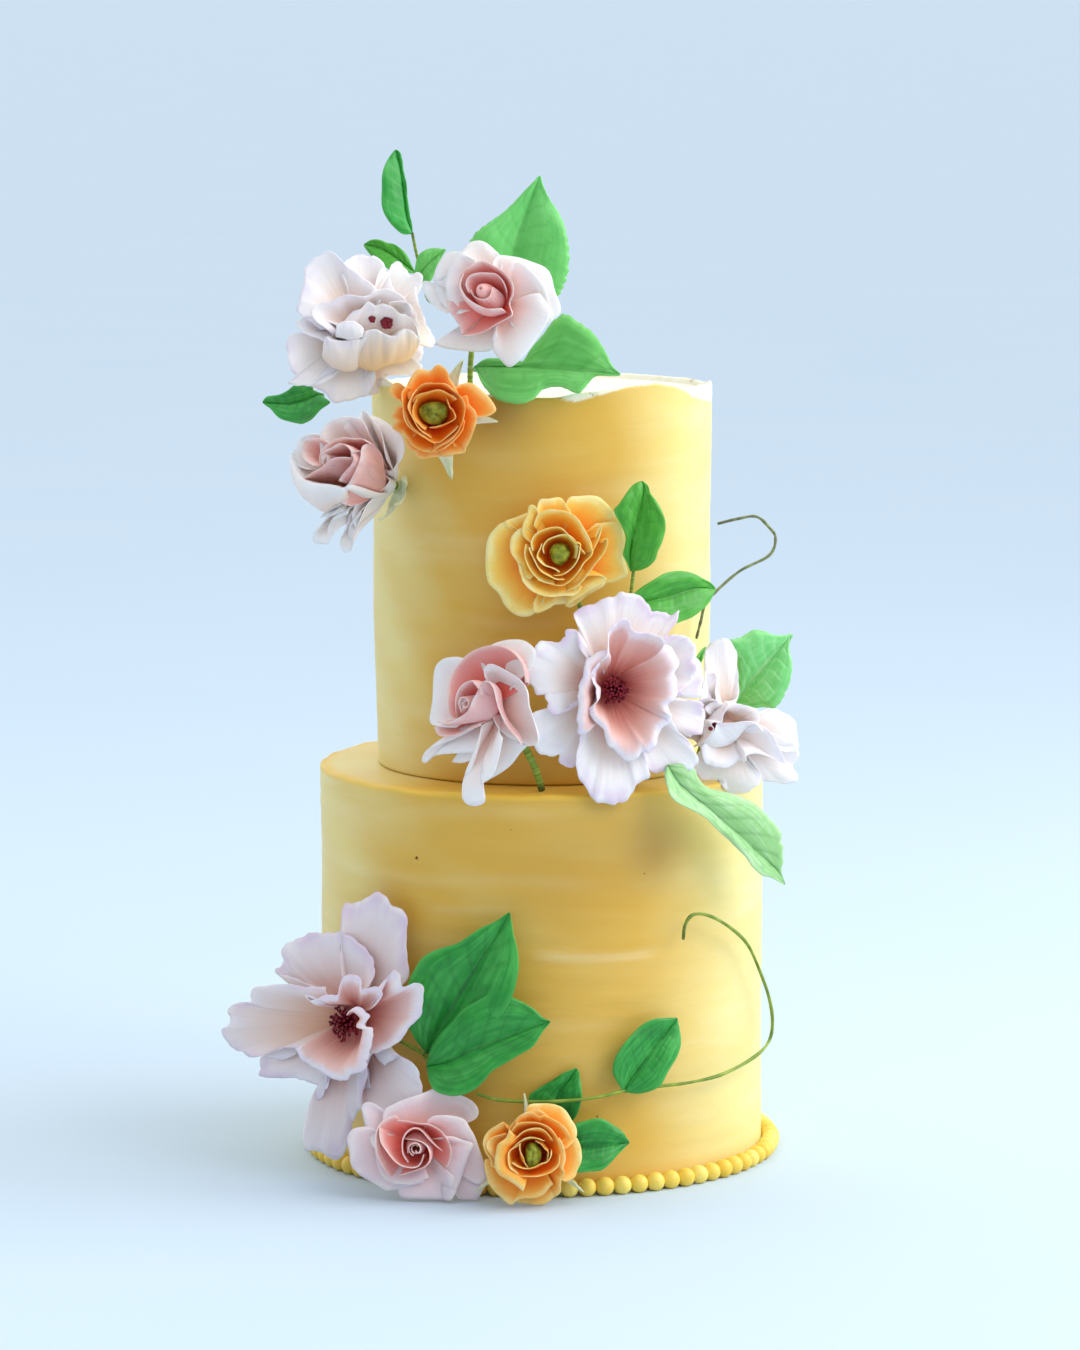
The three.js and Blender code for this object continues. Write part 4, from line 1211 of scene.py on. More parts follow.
def scattered_strokes(seed, count, low, high):
    rng = np.random.default_rng(seed)
    return [
        (rng.uniform(-180, 180), rng.uniform(8, 34), rng.uniform(low, high), rng.uniform(2.0, 6.0), rng.uniform(0.08, 0.36))
        for _ in range(count)
    ]


def make_lower_tier():
    piece = Piece()
    wall = [(LOWER_RADIUS, z) for z in np.linspace(3, LOWER_TOP - 3, 96)]
    edge = [
        (LOWER_RADIUS + 0.1, LOWER_TOP - 2.1),
        (LOWER_RADIUS + 0.05, LOWER_TOP - 1.3),
        (LOWER_RADIUS - 0.4, LOWER_TOP - 0.6),
        (LOWER_RADIUS - 1.2, LOWER_TOP - 0.1),
        (LOWER_RADIUS - 2.2, LOWER_TOP),
    ]
    ledge = [(r, LOWER_TOP) for r in (101, 98, 94, 90, 86, 82, 79, 76, 60, 30)]
    profile = [(0, 0), (60, 0), (LOWER_RADIUS - 1.2, 0), (LOWER_RADIUS - 0.4, 0.8), *wall, *edge, *ledge, (0, LOWER_TOP)]
    grid, turn = rings(profile, SIDES)
    height = np.array(profile)[:, 1][:, None] * np.ones(SIDES)
    radius = np.array(profile)[:, 0][:, None] * np.ones(SIDES)
    on_wall = smooth((radius - 100) / 4) * smooth(height / 4)
    uneven = 0.35 * waves(3, 3 * np.cos(turn), 3 * np.sin(turn), height / 40, count=5)
    uneven += 0.12 * waves(4, 2 * np.cos(turn), 2 * np.sin(turn), height / 5, count=5)
    scale = 1 + on_wall * uneven / LOWER_RADIUS
    near_edge = smooth((height - LOWER_TOP + 6) / 6) * smooth((radius - 97) / 6)
    notch = np.exp(-((((np.degrees(turn) + 90 + 15.2) / 3.2)) ** 2))
    grid[..., 0] *= scale
    grid[..., 1] *= scale
    rolling = 0.5 * waves(9, 8 * np.cos(turn), 8 * np.sin(turn), count=5)
    grid[..., 2] += near_edge * (rolling - 1.2 * notch - 0.3)
    on_top = smooth((height - LOWER_TOP + 0.5) / 0.5) * (radius < 101)
    grid[..., 2] += on_top * 0.15 * waves(12, radius / 5, 6 * np.cos(turn), 6 * np.sin(turn), count=5)
    marks = [(-76, 17, 111, 2.2, 0.9), (-68, 9, 108, 1.2, 0.6), (-108, 12, 132, 1.6, 0.35)]
    pale = strokes(turn, height, marks + scattered_strokes(21, 34, 8, 178))
    pale *= on_wall
    # A painted highlight: a brighter yellow strip along the rounded rim of the lower tier.
    painted_rim_highlight = smooth((height - LOWER_TOP + 3.2) / 1.6) * smooth((radius - 99) / 4)
    # Painted shadow below the middle sprays and the hanging leaf on the lower tier.
    shade = on_wall * painted_shadow_patches(turn, height, [(-60, 8, 158, 16, 0.55), (-80, 20, 152, 30, 0.3)])
    piece.turned(grid, tint=pale, across=painted_rim_highlight, along=painted_sheen_and_patches(turn, height), shade=shade)
    piece.build("lower_tier_icing", ICING, "icing", "lower_tier")


def make_upper_tier():
    piece = Piece()
    heights = np.linspace(UPPER_FOOT + 1.5, TOP - 14, 88)
    bulge = np.interp(heights, (UPPER_FOOT, UPPER_FOOT + 72, TOP - 12), (UPPER_RADIUS - UPPER_TAPER, UPPER_RADIUS - 0.5, UPPER_RADIUS))
    wall = list(zip(bulge, heights))
    upper = [(UPPER_RADIUS, z) for z in np.linspace(TOP - 13, TOP - 0.6, 22)]
    lip = [(UPPER_RADIUS - 0.25, TOP), (UPPER_RADIUS - 1.1, TOP + 0.3), (UPPER_RADIUS - 1.9, TOP - 0.2), (UPPER_RADIUS - 2.3, TOP - 1.4)]
    floor = [(77.4, TOP - 3.2), (76.4, TOP - 3.6)] + [(r, TOP - 3.6) for r in (74, 71, 67, 62, 56, 49, 41, 32, 22, 11)]
    profile = [(0, UPPER_FOOT), (60, UPPER_FOOT), (77.2, UPPER_FOOT), (77.7, UPPER_FOOT + 0.5), *wall, *upper, *lip, *floor, (0, TOP - 3.6)]
    grid, turn = rings(profile, SIDES)
    height = np.array(profile)[:, 1][:, None] * np.ones(SIDES)
    radius = np.array(profile)[:, 0][:, None] * np.ones(SIDES)
    outside = smooth((radius - 76.8) / 0.6)
    uneven = 0.3 * waves(33, 3 * np.cos(turn), 3 * np.sin(turn), height / 40, count=5)
    uneven += 0.1 * waves(34, 2 * np.cos(turn), 2 * np.sin(turn), height / 5, count=5)
    scale = 1 + outside * np.minimum(uneven, 0.25) / UPPER_RADIUS
    grid[..., 0] *= scale
    grid[..., 1] *= scale
    lifted = smooth((height - (TOP - 12)) / 11) * smooth((radius - 77.5) / 0.8)
    raised = lip_height(turn)
    grid[..., 2] += lifted * raised
    index = np.arange(len(profile))[:, None]
    first_inside = 4 + len(wall) + len(upper)
    on_top = index >= first_inside + len(lip)
    grid[..., 2] += on_top * 0.5 * waves(41, radius / 9, 5 * np.cos(turn), 5 * np.sin(turn), count=6) * smooth((77.4 - radius) / 4)
    # The cream line of the torn lip, partly a painted highlight where it reaches lowest on the right.
    edge = np.interp(np.degrees(np.arctan2(np.sin(turn), np.cos(turn))), RIM_DEGREES, CREAM_LINE_AND_PAINTED_HIGHLIGHT)
    edge = edge + 0.5 * waves(51, 30 * np.cos(turn), 30 * np.sin(turn), count=4)
    level = grid[..., 2] - TOP
    cream = np.where(index >= first_inside + 1, 1.0, smooth((level - edge + 0.5) / 1.2))
    torn = smooth((level + 3) / 3) * (radius > 76)
    patches = waves(61, 9 * np.cos(turn), 9 * np.sin(turn), count=4)
    marks = [(-120, 16, 300, 2.0, 0.4), (-100, 20, 262, 2.6, 0.3), (-60, 14, 246, 1.8, 0.4)]
    pale = strokes(turn, height, marks + scattered_strokes(22, 26, 195, 355)) * outside
    # Painted shadow of the crown ranunculus and its leaf on the upper tier.
    shade = outside * painted_shadow_patches(turn, height, [(-105, 12, 362, 20, 0.7)])
    stains = torn * smooth((patches - 0.1) / 0.4)
    piece.turned(grid, tint=pale, along=painted_sheen_and_patches(turn, height), inner=cream, rim=stains, shade=shade)
    piece.build("upper_tier_icing", ICING, "icing", "upper_tier")


def make_pearls():
    piece = Piece()
    rng = np.random.default_rng(5)
    polar = np.linspace(0, math.pi, 13)
    for i in range(PEARL_COUNT):
        turn = 2 * math.pi * i / PEARL_COUNT
        size = PEARL_RADIUS * rng.uniform(0.955, 1.0)
        wide = rng.uniform(0.99, 1.06)
        profile = [(size * math.sin(a), -size * math.cos(a)) for a in polar]
        grid, around = rings(profile, 18)
        grid[..., :2] *= wide
        grid[..., 2] = np.maximum(grid[..., 2], -size * 0.9)
        grid += 0.06 * waves(100 + i, 3 * np.cos(around), 3 * np.sin(around), grid[..., 2])[..., None]
        ring = PEARL_RING_RADIUS + rng.uniform(-0.25, 0.1) - (wide - 1) * 4
        grid += (ring * math.cos(turn), ring * math.sin(turn), size * 0.9 + 0.02)
        piece.turned(grid, seed=rng.uniform(0, 1))
    piece.build("pearls", PEARL, "pearls", "pearl_border")


def make_specks():
    """Small dark crumbs in the icing."""
    piece = Piece()
    rng = np.random.default_rng(8)
    spots = [(-57.6, 154.2, 0.75), (25.4, 36.0, 0.5), (-14.0, 170.0, 0.35), (47.0, 148.0, 0.35), (-18.0, 122.0, 0.35)]
    places = [(math.asin(x / LOWER_RADIUS) - math.pi / 2, z, size) for x, z, size in spots]
    places += [(rng.uniform(0, math.pi), rng.uniform(15, 175), rng.uniform(0.3, 0.5)) for _ in range(6)]
    for turn, z, size in places:
        grid, around = rings([(0, -0.3), (size, -0.2), (size * 0.8, 0.25), (0, 0.35)], 8)
        grid = grid * (1 + 0.2 * np.sin(3 * around + z))[..., None]
        out = np.array([math.cos(turn), math.sin(turn), 0.0])
        axes = np.array([[-math.sin(turn), math.cos(turn), 0], [0, 0, 1], out])
        piece.turned(grid @ axes + out * (LOWER_RADIUS + 0.1) + [0, 0, z])
    piece.build("icing_specks", plain_look("speck", (92, 52, 24), (140, 84, 40), 800.0, 0.7), "icing")


make_lower_tier()
make_upper_tier()
make_pearls()
make_specks()


# Spray at the top

TOP_WINDOW = ((280, 150), 4.021)
RIGHT_WINDOW = ((600, 470), 7.84)
SIDE_WINDOW = ((690, 615), 12.544)
BASE_WINDOW = ((400, 900), 5.2267)

# TABLE CROWN_PEONY
# Painted light: a petal's tint here is a painted orange reflection from the ranunculus beside it, strongest at its
# foot.
CROWN_PEONY_SKIRT_PETALS = (
    ("top", (80, 86), 0.5, [
        (480, 420), (520, 320), (640, 268), (745, 285), (815, 345), (860, 450), (900, 560),
    ], (7, 4, 3, 3, 4, 8)),
    ("top left", (76, 80), 0.7, [
        (330, 860), (200, 770), (132, 700), (160, 590), (192, 480), (195, 375), (270, 300), (370, 243),
        (445, 282), (545, 372), (650, 445), (750, 530), (800, 620),
    ], (9, 8, 7, 6, 6, 7, 9, 10, 12)),
    ("top right", (78, 88), 0.6, [
        (740, 620), (760, 450), (800, 380), (850, 400), (885, 340), (935, 328), (990, 378), (1032, 428),
        (1075, 408), (1118, 440), (1110, 520), (1075, 600), (1000, 700),
    ], (10, 8, 6, 5, 4, 4, 5, 8)),
    ("right", (78, 88), 0.6, [
        (980, 620), (1062, 520), (1078, 620), (1112, 700), (1146, 800), (1185, 865), (1216, 935),
        (1200, 1000), (1120, 1000), (1112, 1090), (1020, 1120), (900, 1060),
    ], (9, 7, 5, 4, 3, 3, 4, 8), {"tint": 0.5}),
    ("bottom right", (78, 90), 0.5, [
        (860, 1060), (960, 1080), (1100, 1128), (1092, 1185), (1000, 1222), (920, 1252), (850, 1312),
        (780, 1352), (690, 1380), (660, 1290), (690, 1160),
    ], (11, 8, 6, 5, 5, 5, 8), {"tint": 0.9}),
    ("bottom", (78, 92), 0.5, [
        (730, 1150), (745, 1260), (690, 1370), (610, 1402), (520, 1424), (425, 1432), (378, 1388),
        (335, 1340), (245, 1312), (330, 1240), (470, 1160),
    ], (11, 8, 5, 4, 4, 5, 9)),
    ("low left", (80, 86), 0.6, [
        (520, 1140), (380, 1262), (230, 1302), (70, 1280), (120, 1232), (78, 1170), (58, 1090), (50, 1000),
        (66, 920), (115, 888), (200, 890), (330, 940),
    ], (9, 7, 4, 3, 3, 4, 7)),
    ("left", (74, 70), 0.7, [
        (420, 980), (240, 905), (170, 872), (128, 802), (160, 766), (235, 760), (330, 780), (460, 830),
    ], (12, 9, 7, 7, 9, 12)),
)
CROWN_PEONY_CUP_PETALS = (
    ("inner top", (70, 56), 0.9, [
        (420, 900), (300, 800), (255, 740), (270, 680), (340, 650), (410, 640), (480, 592), (570, 585),
        (660, 600), (740, 560), (830, 545), (920, 575), (1000, 640), (1050, 740),
    ], (14, 14, 14, 14, 15, 15, 14)),
    ("inner right", (74, 60), 0.9, [
        (860, 640), (960, 630), (1045, 700), (1080, 800), (1085, 900), (1060, 990), (980, 1050),
    ], (15, 14, 13, 13, 14), {"tint": 0.5}),
    ("dome", (86, -52), 0.2, [
        (1085, 900), (1050, 800), (985, 742), (925, 720), (880, 684), (800, 650), (745, 668), (690, 640),
        (640, 690), (570, 722), (510, 790), (430, 880),
    ], (15, 17, 19, 20, 20, 20, 18, 15), {"centre": (790, 420, 20), "frill": 0.7, "pull": (0.7, 0.45)}),
    ("front right", (80, 10), 0.4, [
        (1090, 940), (1050, 880), (985, 858), (930, 876), (880, 908), (800, 895), (745, 862), (690, 868),
        (650, 905), (610, 960), (590, 1030),
    ], (16, 18, 20, 21, 20, 18, 16), {"tint": 1.0, "frill": 0.7, "swell": 0.1, "hem": ([
        (1062, 1030), (1020, 1090), (950, 1120), (880, 1128), (810, 1150), (740, 1185), (680, 1175),
        (620, 1150), (580, 1090),
    ], (12, 11, 11, 11, 12, 13))}),
    ("front left", (80, 10), 0.3, [
        (700, 905), (640, 925), (560, 945), (500, 958), (440, 940), (392, 914), (352, 935), (330, 1000),
    ], (19, 19, 18, 18, 17, 15), {"tint": 0.3, "frill": 0.6, "swell": 0.12, "hem": ([
        (690, 1060), (640, 1120), (590, 1178), (520, 1188), (450, 1170), (390, 1140), (335, 1080),
    ], (12, 12, 12, 12, 12))}),
    ("small curl", (80, 10), 0.3, [
        (655, 880), (632, 832), (565, 796), (500, 803), (452, 848), (430, 905),
    ], (20, 21, 21, 20, 19), {"frill": 0.3, "swell": 0.3, "hem": ([
        (650, 915), (600, 935), (540, 940), (480, 925), (436, 915),
    ], (19, 19, 18, 17))}),
)

crown_peony = Frame((-85, -20, 393), 12, 6, (280, 220), 7.841)
traced_peony("crown_peony", crown_peony, (780, 790, 18), CROWN_PEONY_CUP_PETALS, CROWN_PEONY_SKIRT_PETALS, PALE_PEONY, PALE_PEONY, 1000, 0.5)
stamen_spots("crown_peony", crown_peony, [(838, 806, 15.8, 2.5), (722, 777, 16.2, 1.2)], seed=1)
# END CROWN_PEONY

# TABLE CROWN_ROSE
CROWN_ROSE_HEART_PETALS = (
    ("behind knob", (50, 4), 0.5, [
        (300, 800), (283, 750), (300, 702), (345, 683), (405, 684), (462, 692), (502, 735), (520, 795),
    ], (13.5, 15.5, 16, 16, 15, 13.5)),
    ("top back", (60, 12), 0.8, [
        (250, 800), (244, 735), (262, 680), (310, 640), (375, 612), (450, 640), (515, 685), (548, 740),
        (552, 800), (538, 855),
    ], (11, 13, 15, 15.5, 15.5, 14.5, 12.5)),
    ("front of knob", (50, -8), 0.3, [
        (308, 780), (330, 820), (382, 836), (420, 822), (434, 765),
    ], (14.5, 15.5, 16, 16, 16)),
    ("front", (86, -40), 0.3, [
        (266, 690), (246, 755), (272, 812), (320, 858), (380, 888), (430, 896), (492, 893),
    ], (14.5, 15.5, 16, 16, 15)),
    ("right low rim", (70, 0), 0.6, [
        (556, 800), (535, 865), (550, 925), (520, 955), (450, 992), (390, 1030), (320, 1050), (250, 1052),
    ], (12, 12.5, 12.5, 11, 9, 7)),
    ("left low rim", (60, 40), 0.5, [
        (160, 850), (178, 905), (205, 950), (240, 1000), (252, 1055),
    ], (10, 9, 8, 7, 6)),
)
CROWN_ROSE_SKIRT_PETALS = (
    ("bottom fold", (86, 100), 0, [
        (330, 1066), (200, 1072), (90, 1104), (150, 1135), (250, 1149), (345, 1158), (430, 1146),
        (470, 1080),
    ], (3, 2, 1, 1, 2, 3)),
    ("low right", (80, 96), 0.4, [
        (470, 1060), (440, 1140), (490, 1210), (545, 1250), (620, 1190), (700, 1085), (785, 945),
        (775, 880), (720, 800),
    ], (6, 6, 7, 8, 8, 7, 6)),
    ("right", (76, 60), 1.2, [
        (555, 1000), (680, 1040), (780, 950), (760, 830), (735, 750), (690, 682), (600, 620), (540, 640),
    ], (6, 4, 4.5, 5, 6, 8, 9, 10)),
    ("right back", (84, 96), 0.4, [
        (700, 1040), (800, 965), (850, 905), (815, 790), (770, 660), (640, 600), (560, 582), (470, 575),
        (440, 620),
    ], (3, 1, 0, 1, 2, 3, 5, 7)),
    ("top", (84, 100), 0.5, [
        (500, 640), (480, 575), (450, 540), (395, 497), (345, 485), (290, 500), (250, 560), (220, 640),
    ], (5, 3, 1.5, 1, 2, 5)),
    ("left", (80, 80), 0.8, [
        (330, 620), (260, 560), (170, 556), (112, 620), (84, 700), (92, 770), (120, 845), (175, 905),
        (240, 930),
    ], (8, 5, 3, 2, 3, 5, 7)),
    ("inner left", (78, 60), 1, [
        (330, 600), (250, 575), (195, 610), (165, 680), (158, 770), (172, 850), (215, 930),
    ], (11, 10, 9, 9, 9, 8)),
    ("far left", (84, 96), 0.2, [
        (140, 700), (75, 736), (15, 735), (40, 830), (88, 885), (160, 925),
    ], (3, 1, 0, 1, 3)),
)

crown_rose = Frame((-20.5, -67, 408), -14, 12, (420, 160), 6.03)
traced_rose("crown_rose", crown_rose, (366, 775, 16), 16, CROWN_ROSE_HEART_PETALS, CROWN_ROSE_SKIRT_PETALS, OUTER_ROSE, True, 2000)
# END CROWN_ROSE

# TABLE CROWN_RANUNCULUS
CROWN_RANUNCULUS_PETALS = (
    ("first left", (50, 10), 0.8, [
        (560, 470), (528, 540), (514, 605), (540, 680), (595, 735), (650, 770),
    ], (12, 13, 13.5, 13, 12)),
    ("first top", (50, 10), 1, [
        (535, 520), (560, 475), (620, 430), (720, 398), (810, 405), (885, 448), (935, 490),
    ], (11.5, 13, 13.5, 13, 12)),
    ("first right", (60, -10), 0.4, [
        (840, 480), (868, 560), (905, 590), (930, 650), (905, 685), (840, 722), (760, 745), (680, 750),
    ], (11, 12, 13, 13, 12)),
    ("second left", (60, 4), 0.6, [
        (560, 390), (515, 445), (488, 520), (492, 600), (530, 700), (600, 790), (700, 860),
    ], (12, 13.5, 14, 13.5, 12)),
    ("second low", (66, 0), 0.6, [
        (440, 590), (470, 690), (530, 770), (620, 840), (720, 905), (800, 900), (880, 820), (950, 740),
    ], (12, 13, 13.5, 13.5, 12.5)),
    ("third left", (66, 6), 0.9, [
        (470, 360), (415, 420), (408, 500), (428, 610), (470, 715), (550, 800), (660, 870), (745, 925),
    ], (11, 12.5, 13, 12.5, 11)),
    ("third top", (66, 10), 0.6, [
        (540, 400), (620, 345), (720, 325), (820, 340), (900, 390), (960, 450),
    ], (11, 12, 12.5, 12, 11)),
    ("third right", (66, 4), 1.1, [
        (880, 370), (955, 430), (1002, 505), (1022, 600), (1012, 700), (962, 790), (880, 872), (780, 925),
        (700, 985),
    ], (11, 13, 14, 13.5, 12)),
    ("fourth low", (72, 20), 0.9, [
        (1025, 690), (1000, 790), (915, 880), (800, 965), (700, 985), (610, 975), (520, 930), (460, 860),
        (400, 790),
    ], (10, 11, 11, 10.5, 9)),
    ("right margin", (76, 50), 0.8, [
        (1000, 470), (1040, 455), (1062, 540), (1120, 600), (1137, 700), (1112, 800), (1082, 880),
        (1030, 960), (1020, 1000), (900, 1022), (780, 1034),
    ], (8, 8.5, 8.5, 8, 7)),
    ("bottom", (80, 80), 0.5, [
        (440, 880), (470, 960), (530, 1000), (560, 1052), (620, 1068), (700, 1052), (800, 1046),
        (905, 1034), (960, 960),
    ], (6, 5, 4.5, 5, 6)),
    ("left low", (80, 70), 0.5, [
        (440, 560), (350, 560), (345, 600), (308, 660), (348, 700), (318, 760), (372, 802), (440, 830),
        (520, 860),
    ], (7, 6, 5.5, 6, 7)),
    ("left top", (82, 84), 0.4, [
        (470, 500), (340, 470), (298, 430), (284, 380), (320, 335), (372, 320), (420, 352), (480, 420),
    ], (6, 4.5, 4, 5, 6)),
    ("top", (78, 84), 0.4, [
        (470, 480), (455, 370), (500, 262), (560, 192), (622, 190), (690, 202), (742, 150), (802, 155),
        (852, 202), (882, 285), (925, 340), (960, 430),
    ], (9, 6, 5, 4.5, 5, 7, 9)),
    ("right back", (84, 92), 0.4, [
        (900, 480), (940, 370), (1002, 330), (1100, 325), (1200, 400), (1282, 482), (1335, 590),
        (1250, 650), (1140, 652), (1000, 640),
    ], (7, 4, 2.5, 2, 3, 5)),
)

crown_ranunculus = Frame((-49, -85, 359), -6, 0, (360, 350), 9.8)
traced_ranunculus("crown_ranunculus", crown_ranunculus, (720, 615, 10), CROWN_RANUNCULUS_PETALS, 7.6, 0.8, 9.0, seed=3000)
# END CROWN_RANUNCULUS

calyx(
    "crown_ranunculus",
    crown_ranunculus,
    3,
    2,
    [(-8, 27.5, (96, 88), 12), (-76, 30, (94, 84), 15), (150, 20, (96, 92), 6), (62, 26, (94, 88), 12)],
)

# TABLE CROWN_ROSEBUD
# Painted light: a petal's tint here is painted warm light on the shaded bud, strongest at its foot.
CROWN_ROSEBUD_HEART_PETALS = (
    ("curl", (10, 0), 0.2, [
        (470, 665), (452, 622), (460, 582), (480, 566), (496, 592), (490, 640),
    ], (40, 42, 42, 41), {"tint": 0.7}),
    ("back inner", (15, 0), 0.4, [
        (440, 600), (448, 562), (480, 535), (530, 510), (572, 480), (612, 468), (662, 490), (702, 532),
        (708, 590),
    ], (39, 41, 42, 42, 41, 39), {"tint": 0.7}),
    ("front wrap", (22, -10), 0.3, [
        (300, 770), (380, 712), (450, 672), (505, 622), (560, 592), (640, 586), (708, 592),
    ], (36, 39, 41, 42, 42, 40), {"tint": 0.7}),
    ("behind", (20, 6), 0.8, [
        (432, 660), (436, 570), (480, 500), (540, 452), (620, 426), (700, 424), (790, 425), (855, 470),
    ], (36, 38, 39, 39, 37, 34), {"tint": 0.7}),
    ("second right", (24, -8), 0.4, [
        (770, 530), (712, 545), (722, 600), (695, 668), (630, 735), (598, 790),
    ], (37, 40, 40, 39, 37), {"tint": 0.7}),
    ("right front", (26, 8), 0.9, [
        (890, 500), (848, 470), (802, 500), (778, 600), (730, 700), (692, 780), (662, 850), (622, 905),
        (632, 975), (700, 1000),
    ], (30, 34, 37, 38, 38, 36, 33, 29, 25), {"tint": 0.7}),
    ("left inner pale", (30, 25), 0.7, [
        (440, 430), (370, 420), (310, 450), (280, 520), (300, 600), (380, 660),
    ], (34, 34, 34, 35, 36), {"tint": 0.7}),
)
CROWN_ROSEBUD_SKIRT_PETALS = (
    ("low left", (34, 0), 0.2, [
        (180, 570), (212, 640), (240, 722), (280, 772), (345, 797), (450, 820), (560, 842), (632, 852),
        (680, 815),
    ], (31, 33, 36, 38, 39, 38, 36), {"tint": 0.25, "hem": ([
        (186, 590), (186, 690), (232, 835), (300, 942), (400, 1022), (482, 1062), (560, 1000), (630, 975),
        (690, 930),
    ], (31, 31, 31, 30, 29, 28))}),
    ("left pale", (40, 35), 0.8, [
        (500, 500), (440, 402), (350, 384), (262, 420), (228, 500), (190, 570), (230, 650), (330, 690),
    ], (30, 30, 30, 31, 32, 33), {"tint": 0.25}),
    ("top left", (45, 35), 0.9, [
        (440, 560), (436, 400), (490, 302), (600, 252), (700, 240), (790, 270), (840, 360),
    ], (31, 30, 28, 27, 26, 26), {"tint": 0.25}),
    ("top", (55, 45), 0.7, [
        (640, 330), (700, 240), (770, 240), (802, 188), (855, 210), (905, 300), (960, 400), (1020, 580),
    ], (26, 25, 23, 22, 21, 20), {"tint": 0.25}),
    ("right top", (84, 90), 0.5, [
        (800, 300), (850, 222), (960, 250), (1080, 330), (1150, 420), (1152, 560), (1112, 650),
        (1055, 700), (1000, 690),
    ], (18, 17, 15, 13, 10, 8, 8), {"tint": 0.25}),
    ("pale low right", (84, 60), 0.4, [
        (960, 760), (992, 736), (1048, 792), (960, 890), (850, 1000), (785, 1120), (735, 1198),
        (712, 1100), (760, 980),
    ], (10, 9, 10, 14, 17, 18, 18), {"tint": 0.25}),
    ("spoon left", (80, 90), 0.2, [
        (660, 985), (560, 1062), (498, 1122), (450, 1190), (366, 1272), (380, 1332), (480, 1342),
        (512, 1318), (506, 1200), (550, 1140), (680, 1080),
    ], (22, 22, 22, 22, 22), {"tint": 0.25}),
    ("spoon right", (80, 90), 0.2, [
        (730, 1060), (670, 1140), (650, 1255), (608, 1312), (620, 1382), (665, 1420), (712, 1390),
        (702, 1310), (672, 1256), (705, 1190), (790, 1090),
    ], (17, 17, 17, 17, 17), {"tint": 0.25}),
    ("flap", (80, 80), 0.2, [
        (620, 990), (500, 1058), (440, 1115), (530, 1090), (640, 1060),
    ], (24, 24, 24), {"tint": 0.25}),
)

crown_rosebud = Frame((-70, -53, 323), -44, 10, (270, 390), 8.71)
traced_rose("crown_rosebud", crown_rosebud, (475, 600, 42), 42, CROWN_ROSEBUD_HEART_PETALS, CROWN_ROSEBUD_SKIRT_PETALS, OUTER_ROSE, seed=4000)
# END CROWN_ROSEBUD

calyx(
    "crown_rosebud",
    crown_rosebud,
    3.2,
    3.4,
    [(-70, 24, (78, 14), 8), (-30, 25, (78, 12), 8), (10, 22, (78, 14), 7), (180, 14, (88, 66), 6)],
)

# LEAVES crown
add_leaf(
    "crown_leaf_tall",
    (-60.5, -10, 436),
    (-67.5, -8, 475.5),
    (0.5, -1, 0),
    TOP_WINDOW,
    [
        (530, 336), (500, 337), (470, 320), (440, 290), (420, 250), (410, 200), (410, 140), (420, 80),
        (440, 30), (465, 0),
    ],
    [
        (530, 336), (510, 270), (500, 200), (490, 120), (480, 60), (465, 0),
    ],
    [
        (530, 336), (528, 300), (518, 250), (510, 190), (505, 130), (493, 80), (490, 40), (480, 10),
        (465, 0),
    ],
    arch=1, fold=(10, 34), look=TALL_LEAF, seed=1,
)
add_leaf(
    "crown_leaf_back",
    (-57, 0, 420),
    (-84, 2, 434),
    (0, -1, 0.5),
    TOP_WINDOW,
    [
        (542, 493), (470, 490), (420, 465), (375, 430), (345, 395), (338, 380),
    ],
    [
        (542, 493), (460, 430), (400, 395), (338, 380),
    ],
    [
        (542, 493), (520, 445), (495, 410), (460, 382), (430, 375), (400, 363), (365, 365), (338, 380),
    ],
    arch=3, fold=(20, 8), look=FRESH_LEAF, seed=2,
)
add_leaf(
    "crown_leaf_small",
    (-52, -14, 407),
    (-43, -8, 430),
    (0, -1, 0.2),
    TOP_WINDOW,
    [
        (542, 520), (545, 470), (558, 430), (585, 405), (625, 396), (665, 400),
    ],
    [
        (542, 520), (600, 455), (665, 400),
    ],
    [
        (542, 520), (575, 525), (600, 530), (622, 490), (642, 440), (665, 400),
    ],
    arch=1, seed=3,
)
add_leaf(
    "crown_leaf_large",
    (-6, -16, 404),
    (0, -12, 463.5),
    (0, -1, 0.1),
    TOP_WINDOW,
    [
        (930, 640), (860, 600), (800, 520), (765, 430), (770, 362), (800, 320), (850, 285), (900, 252),
        (940, 215), (985, 165), (1020, 130), (1045, 104),
    ],
    [
        (930, 640), (925, 500), (960, 340), (1005, 210), (1045, 104),
    ],
    [
        (930, 640), (1000, 640), (1070, 625), (1118, 590), (1145, 520), (1158, 440), (1160, 380),
        (1145, 310), (1120, 255), (1085, 200), (1060, 150), (1045, 104),
    ],
    fold=(20, 6), look=BRIGHT_LEAF, teeth=19, tooth=0.06, seed=4,
)
add_leaf(
    "crown_leaf_front",
    (-30, -66, 377),
    (37, -86, 376),
    (0, -1, 0.3),
    TOP_WINDOW,
    [
        (780, 876), (840, 840), (985, 850), (1010, 800), (1060, 740), (1100, 690), (1150, 665), (1190, 690),
        (1240, 720), (1275, 760), (1310, 820), (1335, 870), (1368, 903),
    ],
    [
        (780, 876), (840, 872), (990, 872), (1070, 880), (1200, 890), (1368, 903),
    ],
    [
        (780, 876), (795, 900), (810, 935), (840, 975), (880, 1005), (960, 1018), (1020, 1000), (1060, 960),
        (1130, 950), (1200, 975), (1240, 935), (1270, 905), (1330, 905), (1368, 903),
    ],
    arch=3, fold=(-14, 40), teeth=20, tooth=0.05, wave=1.2, seed=5,
)
